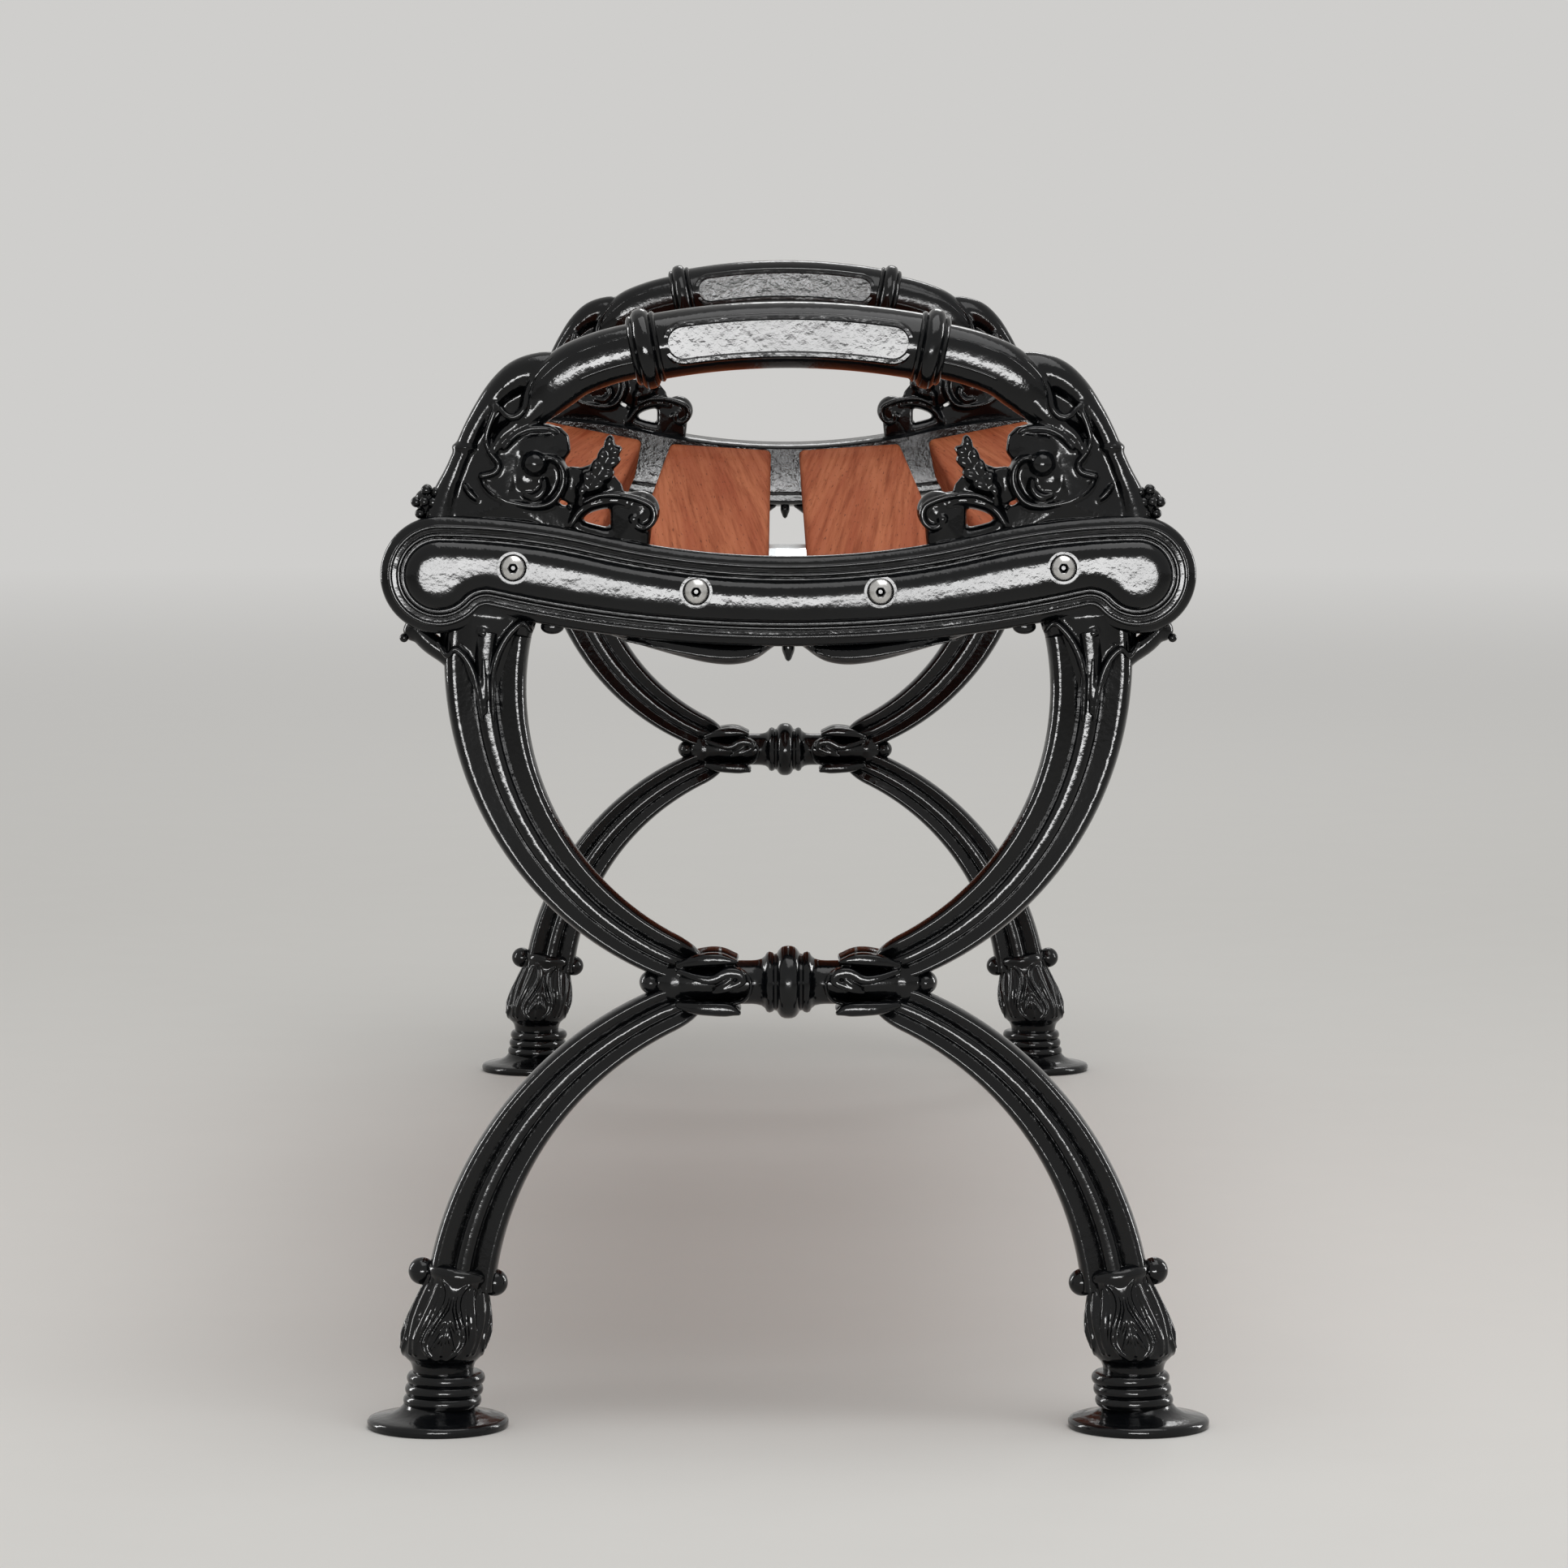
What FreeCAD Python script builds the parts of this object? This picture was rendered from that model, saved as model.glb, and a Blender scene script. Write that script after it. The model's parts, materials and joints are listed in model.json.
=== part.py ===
import FreeCAD, Part
import Sketcher
import math
import os

# Backless garden bench: two cast end frames carry four lengthwise slats on a dished line.
# X runs across the seat, Y along the bench and Z up. The origin is on the floor, under the middle.

V = FreeCAD.Vector
X_AXIS = V(1, 0, 0)
Y_AXIS = V(0, 1, 0)
Z_AXIS = V(0, 0, 1)
ORIGIN = V(0, 0, 0)
SLAT_COUNT = 4

# Driving dimensions in millimetres. Heights called rise or drop are measured from the seat.
SIZES = {
    # Whole bench and slats
    "frame_pitch": 1430,
    "seat_height": 452.5,
    "dish_radius": 720,
    "slat_width": 73.5,
    "slat_gap": 19.8,
    "slat_thickness": 30,
    "slat_edge_round": 4,
    "slat_end_clearance": 0.2,
    # Seat rail of the end frame
    "rail_back": 16,
    "rail_front": 13,
    "rail_edge": 6,
    "rail_chamfer": 4,
    "rail_face_height": 34.9,
    "rail_shoulder_rise": 20.7,
    "rail_inflection": 100,
    "rail_end_radius": 24.5,
    "rail_end_beyond_seat": 3.8,
    "rail_bottom_radius": 700,
    "rail_cusp_radius": 9,
    "bead_drop": 1.4,
    "bead_width": 4,
    "bead_proud": 3,
    "bolster_inset": 5,
    "bolster_round": 7,
    "bolster_proud": 7,
    "ledge_reach": 12,
    "ledge_depth": 7,
    "apron_drop": 7.5,
    "apron_half_length": 92,
    "apron_half_thickness": 7,
    "apron_overlap": 8,
    "apron_bud_radius": 4,
    # Arm loop
    "arm_rise": 118.5,
    "sleeve_half_length": 73.7,
    "sleeve_sag": 7.2,
    "sleeve_diameter": 34.4,
    "panel_half_length": 54,
    "panel_height": 15.5,
    "panel_recess": 2,
    "panel_frame": 2.6,
    "collar_diameter": 42,
    "collar_width": 15,
    "arm_tube_diameter": 28.6,
    "arm_foot_inset": 47.5,
    "arm_foot_rise": 77.5,
    "scroll_inset": 45.5,
    "scroll_rise": 44.5,
    "scroll_hub_radius": 18.2,
    "scroll_hub_half_thickness": 9.4,
    "scroll_eye_radius": 6.4,
    "scroll_web_half_thickness": 6,
    "curl_radius": 10.6,
    "end_knob_radius": 7.5,
    "end_bud_radius": 6,
    # Legs
    "leg_inset": 23.5,
    "upper_leg_drop": 57.5,
    "upper_leg_top_width": 42,
    "upper_leg_top_depth": 25,
    "leg_link_width": 24.5,
    "leg_link_depth": 22,
    "lower_leg_foot_width": 36,
    "lower_leg_foot_depth": 30,
    "leg_link_half_gap": 66,
    "leg_link_spread": 15.3,
    "leg_tip_width": 12,
    "leg_tip_depth": 14,
    "leg_tip_half_gap": 48,
    "leg_tip_spread": 9,
    "lower_leg_upright_height": 51,
    "foot_splay": 13.4,
    "knuckle_radius": 6,
    "husk_half_depth": 14.5,
    # Turned link between the legs
    "link_height": 234.4,
    "link_ring_diameter": 38,
    "link_ring_width": 12,
    "link_fillet_diameter": 32,
    "link_fillet_width": 6,
    "link_neck_diameter": 24,
    "calyx_diameter": 33,
    "calyx_start": 19,
    "calyx_end": 64,
    # Feet
    "foot_collar_height": 80,
    "foot_collar_diameter": 34,
    "foot_collar_width": 6,
    "foot_ball_radius": 6,
    "foot_ball_circle": 17.6,
    "bell_neck_diameter": 29,
    "bell_diameter": 46,
    "foot_ring_diameter": 42,
    "foot_ring_pitch": 6.4,
    "foot_lean": 13.1,
    "foot_neck_diameter": 36,
    "foot_disc_diameter": 74,
    "foot_disc_thickness": 6,
    "foot_disc_edge": 1,
    "foot_disc_dome": 4.6,
    # Fasteners and cross bar
    "screw_diameter": 8,
    "screw_hole": 9,
    "screw_head_diameter": 14,
    "screw_head_height": 4.4,
    "screw_head_rim": 1.2,
    "screw_head_top_diameter": 8,
    "screw_socket": 5,
    "screw_socket_depth": 2.6,
    "screw_seat_diameter": 17,
    "screw_seat_front": 16.5,
    "screw_past_nut": 2,
    "screw_bore_clearance": 2,
    "nut_inset": 30,
    "nut_diameter": 12,
    "nut_length": 18,
    "nut_clearance": 0.15,
    "thread_clearance": 0.05,
    "nut_slot_width": 1.6,
    "nut_slot_depth": 1.5,
    "bar_width": 45,
    "bar_thickness": 7,
    "wood_screw_diameter": 5,
    "wood_screw_length": 27,
    "wood_screw_head_diameter": 10,
    "wood_screw_head_height": 3,
    "wood_screw_clearance": 0.1,
    "bar_hole": 6,
}

doc = FreeCAD.newDocument("bench")
sheet = doc.addObject("Spreadsheet::Sheet", "sizes")
for row, (name, value) in enumerate(SIZES.items(), start=1):
    sheet.set("A%d" % row, name)
    sheet.set("B%d" % row, str(value))
    sheet.setAlias("B%d" % row, name)
doc.recompute()


def size(name):
    """A driving dimension, read from the sheet."""
    return float(sheet.get(name))


def point(x, z, y=0.0):
    """A point of the end frame's plane, at depth y."""
    return V(x, y, z)


def arc(start, middle, end):
    return Part.Arc(start, middle, end).toShape()


def line(start, end):
    return Part.LineSegment(start, end).toShape()


def polygon(points):
    """A closed flat face through the points."""
    return Part.Face(Part.makePolygon(list(points) + [points[0]]))


def feature(label, shape):
    """A named object of the document that holds the shape."""
    thing = doc.addObject("Part::Feature", label)
    thing.Label = label
    thing.Shape = shape
    return thing


def both_faces(shape):
    """An ornament on the outer face of the end frame and its twin on the inner face."""
    return [shape, shape.mirror(ORIGIN, Y_AXIS)]


def circle_meeting(centre_a, radius_a, centre_b, radius_b):
    """The lower of the two points at these distances from two centres of the frame's plane."""
    across = centre_b - centre_a
    distance = across.Length
    along = (distance ** 2 + radius_a ** 2 - radius_b ** 2) / (2 * distance)
    aside = math.sqrt(radius_a ** 2 - along ** 2)
    unit = across / distance
    normal = V(unit.z, 0, -unit.x)
    choices = [centre_a + unit * along + normal * aside, centre_a + unit * along - normal * aside]
    return min(choices, key=lambda place: place.z)


def ring_of(place, aside, half, up, deep, sides):
    """A many-sided oval about a place, as a closed outline."""
    corners = []
    for step in range(sides):
        turn = 2 * math.pi * step / sides
        corners.append(place + aside * (half * math.cos(turn)) + up * (deep * math.sin(turn)))
    return Part.makePolygon(corners + [corners[0]])


def horn(start, rows, sides=8):
    """A bent, tapering stem. Each row is right and up from the start, half width and half depth."""
    places = [start + point(row[0], row[1]) for row in rows]
    sections = []
    for index, (place, row) in enumerate(zip(places, rows)):
        before = places[max(index - 1, 0)]
        after = places[min(index + 1, len(places) - 1)]
        aside = (after - before).normalize().cross(Y_AXIS)
        sections.append(ring_of(place, aside, row[2], Y_AXIS, row[3], sides))
    return Part.makeLoft(sections, True, False)


BEAD_LATITUDES = (-72, -40, 0, 40, 72)


def bead(centre, radius, sides=10):
    """A small cast ball, its skin in a few flats."""
    sections = []
    for latitude in BEAD_LATITUDES:
        turn = math.radians(latitude)
        around = radius * math.cos(turn)
        place = centre + Z_AXIS * (radius * math.sin(turn))
        sections.append(ring_of(place, X_AXIS, around, Y_AXIS, around, sides))
    return Part.makeLoft(sections, True, True)


def turned(outline, base, axis):
    """A solid of revolution from points of its outline: the distance along the axis and the radius there."""
    axis = V(axis).normalize()
    aside = axis.cross(X_AXIS if abs(axis.y) > abs(axis.x) else Y_AXIS).normalize()
    closed = [(outline[0][0], 0)] + outline + [(outline[-1][0], 0)]
    face = polygon([base + axis * along + aside * radius for along, radius in closed])
    return face.revolve(base, axis, 360)


# Seat line: the slats lie on an arc of the dish radius, evenly stepped about the middle.
SLAT_PITCH = size("slat_width") + size("slat_gap")
HALF_SEAT = SLAT_COUNT * size("slat_width") / 2 + (SLAT_COUNT - 1) * size("slat_gap") / 2
SLAT_LENGTH = size("frame_pitch") - 2 * size("rail_back") - 2 * size("slat_end_clearance")
HALF_SLAT = size("slat_thickness") / 2


def slat_angle(index):
    """Tilt of a slat, in radians, from its place on the dish."""
    return (index - (SLAT_COUNT - 1) / 2) * SLAT_PITCH / size("dish_radius")


def slat_point(index, across, up):
    """A point of a slat's section: across from its middle line and up from its mid-thickness."""
    angle = slat_angle(index)
    reach = size("dish_radius") + HALF_SLAT - up
    centre = V(0, 0, size("seat_height") + size("dish_radius"))
    middle = centre + V(math.sin(angle), 0, -math.cos(angle)) * reach
    return middle + V(math.cos(angle), 0, math.sin(angle)) * across


def slat_placement(index, y=0.0):
    """Placement of something modelled about a slat's middle, moved along the bench by y."""
    turn = FreeCAD.Rotation(Y_AXIS, -math.degrees(slat_angle(index)))
    return FreeCAD.Placement(slat_point(index, 0, 0) + V(0, y, 0), turn)


def under_slats(depth):
    """Section of a strip that lies flat under every slat and bends in the gaps."""
    half = size("slat_width") / 2
    corners = []
    for index in range(SLAT_COUNT):
        corners.append((index, -half))
        corners.append((index, half))
    top = [slat_point(index, across, -HALF_SLAT) for index, across in corners]
    bottom = [slat_point(index, across, -HALF_SLAT - depth) for index, across in corners]
    return polygon(top + bottom[::-1])


# Places on the end frame, right-hand side.
RAIL_END_X = HALF_SEAT + size("rail_end_beyond_seat")
RAIL_TOP_MID = size("seat_height") - size("bead_drop")
RAIL_END = point(RAIL_END_X, RAIL_TOP_MID + size("rail_shoulder_rise") - size("rail_end_radius"))
RAIL_BOTTOM_MID = RAIL_TOP_MID - size("rail_face_height")
RAIL_SWEEP = 2 * math.atan(size("rail_shoulder_rise") / RAIL_END_X)


def rail_outline(offset, y):
    """Ogee outline of the seat rail at depth y, moved outwards by the offset: a hollow middle arc,
    a shoulder arc and a round bulb on each end, with a small round where the bulb meets the underside."""
    hollow = size("rail_inflection") / math.sin(RAIL_SWEEP)
    shoulder = (RAIL_END_X - size("rail_inflection")) / math.sin(RAIL_SWEEP)
    bulb = size("rail_end_radius") + offset
    under = size("rail_bottom_radius") + offset
    cusp = size("rail_cusp_radius") - offset
    hollow_centre = point(0, RAIL_TOP_MID + hollow, y)
    shoulder_centre = point(RAIL_END_X, RAIL_END.z + size("rail_end_radius") - shoulder, y)
    bulb_centre = point(RAIL_END.x, RAIL_END.z, y)
    under_centre = point(0, RAIL_BOTTOM_MID + size("rail_bottom_radius"), y)
    cusp_centre = circle_meeting(bulb_centre, bulb + cusp, under_centre, under + cusp)

    def polar(centre, radius, angle):
        return centre + V(math.sin(angle), 0, math.cos(angle)) * radius

    crest = polar(bulb_centre, bulb, 0)
    inflection = polar(hollow_centre, hollow - offset, math.pi - RAIL_SWEEP)
    on_bulb = bulb_centre + (cusp_centre - bulb_centre).normalize() * bulb
    on_under = under_centre + (cusp_centre - under_centre).normalize() * under
    into_cusp = ((on_bulb + on_under) / 2 - cusp_centre).normalize()
    turn = math.atan2(on_bulb.x - bulb_centre.x, on_bulb.z - bulb_centre.z) % (2 * math.pi)
    right = [
        arc(on_under, cusp_centre + into_cusp * cusp, on_bulb),
        arc(on_bulb, polar(bulb_centre, bulb, turn / 2), crest),
        arc(crest, polar(shoulder_centre, shoulder + offset, -RAIL_SWEEP / 2), inflection),
    ]
    left = [edge.mirror(ORIGIN, X_AXIS) for edge in right]
    over = arc(inflection, hollow_centre - Z_AXIS * (hollow - offset), point(-inflection.x, inflection.z, y))
    beneath = arc(point(-on_under.x, on_under.z, y), under_centre - Z_AXIS * under, on_under)
    return Part.Wire(Part.__sortEdges__([beneath] + right + [over] + left))


def rail_layer(offset, start, end):
    """A flat slice of the rail between two depths."""
    return Part.Face(rail_outline(offset, start)).extrude(V(0, end - start, 0))


# Section of the bolster: shares of its round and of its height.
BOLSTER_SWELL = ((0, 0), (0.08, 0.5), (0.4, 0.86), (1, 1))


def seat_rail():
    """The rail: a thick plate with an eased outer edge, a raised bead and a swelling bolster inside it."""
    edge = size("rail_edge")
    front = -size("rail_front")
    chamfer = size("rail_chamfer")
    sink = size("bead_proud") / 2
    plate = rail_layer(edge, front + chamfer, size("rail_back"))
    edges = [rail_outline(edge, front + chamfer), rail_outline(edge - chamfer, front)]
    easing = Part.makeLoft(edges, True, True)
    bead_outer = rail_layer(size("bead_width") / 2, front + sink, front - size("bead_proud"))
    bead_inner = rail_layer(-size("bead_width") / 2, front, front - 2 * size("bead_proud"))
    inset = size("bolster_inset")
    crown = size("bolster_round")
    height = size("bolster_proud") + sink
    bolster = Part.makeLoft([rail_outline(-inset - crown * across, front + sink - height * rise)
                             for across, rise in BOLSTER_SWELL], True, True)
    return {"rail_plate": plate, "rail_easing": easing, "rail_bead": bead_outer.cut(bead_inner),
            "rail_bolster": bolster}


def slat_ledge():
    """The step on the inner face of the rail that carries the slat ends."""
    overlap = size("rail_back") / 2
    step = under_slats(size("ledge_depth")).extrude(V(0, size("ledge_reach") + overlap, 0))
    step.translate(V(0, size("rail_back") - overlap, 0))
    return step


APRON_BELLY = 0.42


def apron():
    """Two hanging leaf shapes under the middle of the rail, with a drop between them."""
    half = size("apron_half_length")
    thick = size("apron_half_thickness")
    foot = RAIL_BOTTOM_MID - size("rail_edge")
    root = foot + size("apron_overlap")
    bud = size("apron_bud_radius")
    tip = point(half, root)
    cleft = point(0, foot - bud / 2)
    belly = point(half * APRON_BELLY, foot - size("apron_drop"))
    edge = Part.Wire([arc(cleft, belly, tip), line(tip, point(0, root)), line(point(0, root), cleft)])
    leaf = Part.Face(edge).extrude(V(0, 2 * thick, 0))
    leaf.translate(V(0, -thick, 0))
    return {"apron_leaf_right": leaf, "apron_leaf_left": leaf.mirror(ORIGIN, X_AXIS),
            "apron_bud": bead(point(0, foot - bud), bud)}


# Arm loop: a sleeve on a shallow arc, then a tighter arc on each side that runs down to the scroll.
ARM_TOP = point(0, size("seat_height") + size("arm_rise"))
SLEEVE_RADIUS = (size("sleeve_half_length") ** 2 + size("sleeve_sag") ** 2) / (2 * size("sleeve_sag"))
SLEEVE_CENTRE = ARM_TOP - Z_AXIS * SLEEVE_RADIUS
SLEEVE_ANGLE = math.asin(size("sleeve_half_length") / SLEEVE_RADIUS)
COLLAR = point(size("sleeve_half_length"), ARM_TOP.z - size("sleeve_sag"))
ARM_FOOT = point(RAIL_END_X - size("arm_foot_inset"), size("seat_height") + size("arm_foot_rise"))


def bent_bar(centre, start, angle, radius):
    """A round bar bent about a centre of the frame's plane, from the start point through the angle."""
    along = (start - centre).cross(Y_AXIS)
    disc = Part.Face(Part.Wire(Part.makeCircle(radius, start, along)))
    return disc.revolve(centre, Y_AXIS, math.degrees(angle))


def bent_slot(half_length, half_height, y):
    """A slot outline with round ends that follows the sleeve's arc."""
    angle = half_length / SLEEVE_RADIUS
    centre = V(SLEEVE_CENTRE.x, y, SLEEVE_CENTRE.z)

    def at(turn, reach):
        return centre + V(math.sin(turn), 0, math.cos(turn)) * (SLEEVE_RADIUS + reach)

    end = angle + half_height / SLEEVE_RADIUS
    return Part.Face(Part.Wire([
        arc(at(-angle, half_height), at(0, half_height), at(angle, half_height)),
        arc(at(angle, half_height), at(end, 0), at(angle, -half_height)),
        arc(at(angle, -half_height), at(0, -half_height), at(-angle, -half_height)),
        arc(at(-angle, -half_height), at(-end, 0), at(-angle, half_height)),
    ]))


def arm_sleeve():
    """The thick middle of the arm, with a framed sunk panel on each face, left bare."""
    radius = size("sleeve_diameter") / 2
    start = point(-COLLAR.x, COLLAR.z)
    sleeve = bent_bar(SLEEVE_CENTRE, start, 2 * SLEEVE_ANGLE, radius)
    half = size("panel_height") / 2
    frame = size("panel_frame")
    floor_y = -radius + size("panel_recess")
    ring = bent_slot(size("panel_half_length"), half + frame, floor_y + radius / 2)
    ring = ring.extrude(V(0, -radius / 2 - size("panel_recess"), 0))
    well = bent_slot(size("panel_half_length"), half, floor_y).extrude(V(0, -radius, 0))
    for framed in both_faces(ring):
        sleeve = sleeve.fuse(framed)
    for sunk in both_faces(well):
        sleeve = sleeve.cut(sunk)
    return sleeve


def arm_collar():
    """Ring with a fillet on each side, where the sleeve meets the bent tube."""
    half = size("collar_width") / 2
    fillet = half / 3
    radius = size("collar_diameter") / 2
    low = radius - fillet
    axis = (COLLAR - SLEEVE_CENTRE).cross(Y_AXIS)
    step = half - fillet
    outline = [(-half, low), (-step, low), (-fillet, radius), (fillet, radius), (step, low), (half, low)]
    return turned(outline, COLLAR, axis)


# The arm's bend from the collar to the scroll: shares of the way right and of the way down, and of the radius.
TUBE_BEND = (
    (0, 0, 1), (0.21, 0.07, 1), (0.41, 0.17, 1), (0.62, 0.33, 0.99), (0.79, 0.56, 0.95), (0.91, 0.78, 0.82),
    (1, 1, 0.6),
)
TUBE_SIDES = 16
# Members of the scroll and of what stands round it, right-hand side. Each row is right and up from the scroll's
# middle, half width and half depth.
SCROLL = point(RAIL_END_X - size("scroll_inset"), size("seat_height") + size("scroll_rise"))
SCROLL_LEAF = (
    (-8, 41, 9.5, 12), (-1, 32.5, 7.5, 11.5), (6, 27, 6.2, 11), (12.5, 22, 5.4, 10.5), (16.5, 15.5, 4.2, 10),
    (17, 9, 2.2, 8.5),
)
SCROLL_RIM = (
    (24, 1.5, 1.5, 8.5), (20, -5, 2.2, 10), (12.5, -11, 2.6, 10.8), (4, -13, 2.8, 11), (-5.5, -14, 2.8, 11),
    (-13, -12, 2.8, 11), (-18, -4.5, 2.7, 11), (-19, 3, 2.5, 10.8), (-15.5, 9.5, 2.4, 10.6),
    (-9.5, 11.5, 2.4, 10.4),
)
SCROLL_EYE = (-4, 8)
SCROLL_WEB = (
    (-63, -39), (-64, -27), (-60, -14), (-52, -4), (-48.5, 2), (-48, 9), (-46, 18), (-42.5, 23), (-38, 19),
    (-31, 14.5), (-22.5, 14), (-21.5, 22), (-17, 26.5), (-9, 27.5), (-1, 27), (-5, 34), (-2, 52), (12, 46),
    (20, 33), (27, 20), (33, 6), (39, -9), (49, -21), (51, -39),
)
WEB_EYELET = ((-26, -21), (-42.5, -16), (-42.5, -25.5))
POST = (
    (-19, 57, 8, 8), (-8, 55.5, 9.6, 9.6), (3.5, 52.5, 9, 9.4), (13.5, 45.5, 7.4, 8.6), (22, 34.5, 6.2, 7.8),
    (28.5, 23.5, 5.6, 7.2), (33, 13.5, 5.2, 7), (37.5, 3, 5.4, 7.2), (42, -7.5, 6.6, 8), (45.5, -19, 8.6, 9.4),
    (46, -31, 9.6, 10.4),
)
POST_RING = ((30.5, 19.5, 6, 7.4), (31.2, 18, 7.4, 8.8), (32.6, 15, 7.4, 8.8), (33.2, 13.5, 6, 7.4))
CURL = (-58, -17)
CURL_STEM = (
    (-22, -25, 3.6, 7), (-28, -16.5, 3.8, 7.6), (-37, -12.5, 4, 8.4), (-46.5, -11.5, 4.4, 9),
    (-54.5, -13.5, 5, 9.2),
)
CURL_NECK = ((-57.5, -15, 8.4, 8.6), (-57.5, -25, 8.6, 8.8), (-56.5, -37, 12, 10))
SPRIG = (
    (-25, -13, 3.6, 5), (-30, -4.5, 4.4, 5), (-36, 5, 4.4, 4.8), (-40.5, 13, 3.6, 4), (-43.5, 20.5, 1.2, 2.2),
)
END_KNOB = (52.5, -11.5)
KNOB_NECK = ((49, -25, 6, 6.5), (51, -18, 4.8, 5.2), (52.5, -12, 5, 5))
# The bud under the rail's end, right and up from the middle of the bulb.
END_BUD = (13.5, -29.3)
BUD_LEAF = ((13.5, -27.5, 5, 6), (5.5, -35.5, 5.6, 7), (-4.5, -43.5, 5, 7), (-9.5, -51.5, 4, 6))


def arm_tube():
    """Round bar that bends down from the collar to the scroll."""
    way = ARM_FOOT - COLLAR
    radius = size("arm_tube_diameter") / 2
    rows = [(way.x * right, way.z * down, radius * share, radius * share) for right, down, share in TUBE_BEND]
    return horn(COLLAR, rows, TUBE_SIDES)


def scroll():
    """The scroll: a hub that rises to its middle, a curling rim, an eye on each face, and its leaf."""
    eye = SCROLL + point(*SCROLL_EYE)
    deep = size("scroll_hub_half_thickness")
    reach = size("scroll_hub_radius")
    hub = turned([(-deep, reach / 6), (-deep / 2, reach), (deep / 2, reach), (deep, reach / 6)], SCROLL, Y_AXIS)
    front_eye = bead(eye - Y_AXIS * deep, size("scroll_eye_radius"))
    return {"scroll_hub": hub, "scroll_leaf": horn(SCROLL, SCROLL_LEAF), "scroll_rim": horn(SCROLL, SCROLL_RIM),
            "scroll_eye": front_eye, "scroll_back_eye": front_eye.mirror(ORIGIN, Y_AXIS)}


def scroll_web():
    """Plate behind scroll, sprig and curled leaf, with a three-cornered eyelet under the leaf's stem."""
    thick = size("scroll_web_half_thickness")
    front = SCROLL - Y_AXIS * thick
    outline, eyelet = (polygon([front + point(right, up) for right, up in corners])
                       for corners in (SCROLL_WEB, WEB_EYELET))
    return outline.cut(eyelet).extrude(V(0, 2 * thick, 0))


def arm_side():
    """Every member of one side of the arm, right-hand, by name."""
    members = {
        "arm_collar": arm_collar(),
        "arm_tube": arm_tube(),
        "scroll_web": scroll_web(),
        "arm_post": horn(SCROLL, POST),
        "post_ring": horn(SCROLL, POST_RING),
        "leaf_curl": bead(SCROLL + point(*CURL), size("curl_radius"), TUBE_SIDES),
        "curl_stem": horn(SCROLL, CURL_STEM),
        "curl_neck": horn(SCROLL, CURL_NECK),
        "sprig": horn(SCROLL, SPRIG),
        "end_knob": bead(SCROLL + point(*END_KNOB), size("end_knob_radius")),
        "knob_neck": horn(SCROLL, KNOB_NECK),
        "end_bud": bead(RAIL_END + point(*END_BUD), size("end_bud_radius")),
        "bud_leaf": horn(RAIL_END, BUD_LEAF),
    }
    members.update(scroll())
    return members


# Legs: C-shaped members with a keel between two flutes on each face, tapering towards the link.
LEG_TOP = point(RAIL_END_X - size("leg_inset"), size("seat_height") - size("upper_leg_drop"))
LINK = point(0, size("link_height"))
UPPER_LEG_END = LINK + point(size("leg_link_half_gap"), size("leg_link_spread"))
LOWER_LEG_END = LINK + point(size("leg_link_half_gap"), -size("leg_link_spread"))
FOOT_COLLAR = point(LEG_TOP.x + size("foot_splay"), size("foot_collar_height"))
LEG_SECTIONS = 7
LEG_INTO_FOOT = 0.06
LEG_HEAD_FLARE = 6
# A quarter of a leg's section, from the keel over the flute to the side: shares of the half sizes.
LEG_QUARTER = ((0, 1), (0.14, 0.86), (0.34, 0.78), (0.58, 0.79), (0.84, 0.54), (1, 0))
# Petals of the husk: right and up from the leg's top, half width, and share of the husk's half depth.
OUTER_PETAL = ((1, -23, 1.8, 0.84), (3, -12, 2.6, 0.96), (6, 1.5, 3, 1), (10, 10, 3, 1), (15.5, 14, 2.2, 0.94))
INNER_PETAL = ((-4.5, -23, 1.8, 0.84), (-4, -3.5, 2.8, 0.98), (-5.5, 7.5, 3.2, 1), (-9, 16.5, 3.2, 1),
               (-14.5, 24, 2.8, 0.96), (-20, 27, 2, 0.9))


def keeled_section(place, across, width, depth):
    """Leg section: a keel on each face, a flute on both sides of it and a rounded edge."""
    right = list(LEG_QUARTER) + [(u, -v) for u, v in LEG_QUARTER[-2::-1]]
    outline = right + [(-u, v) for u, v in right[-2:0:-1]]
    corners = [place + across * (u * width / 2) + Y_AXIS * (v * depth / 2) for u, v in outline]
    return Part.makePolygon(corners + [corners[0]])


def leg_stations(centre, radius, first, last, first_size, last_size):
    """Sections spaced evenly along a leg's arc, with width and depth changing steadily."""
    sections = []
    for step in range(LEG_SECTIONS):
        share = step / (LEG_SECTIONS - 1)
        angle = first + (last - first) * share
        outward = V(math.cos(angle), 0, math.sin(angle))
        width = first_size[0] + (last_size[0] - first_size[0]) * share
        depth = first_size[1] + (last_size[1] - first_size[1]) * share
        sections.append(keeled_section(centre + outward * radius, outward, width, depth))
    return sections


def leg_tip(side, across):
    """Section of a leg's end, drawn in where it dives into the link; the side is 1 above and -1 below."""
    place = LINK + point(size("leg_tip_half_gap"), side * size("leg_tip_spread"))
    return keeled_section(place, across, size("leg_tip_width"), size("leg_tip_depth"))


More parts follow.
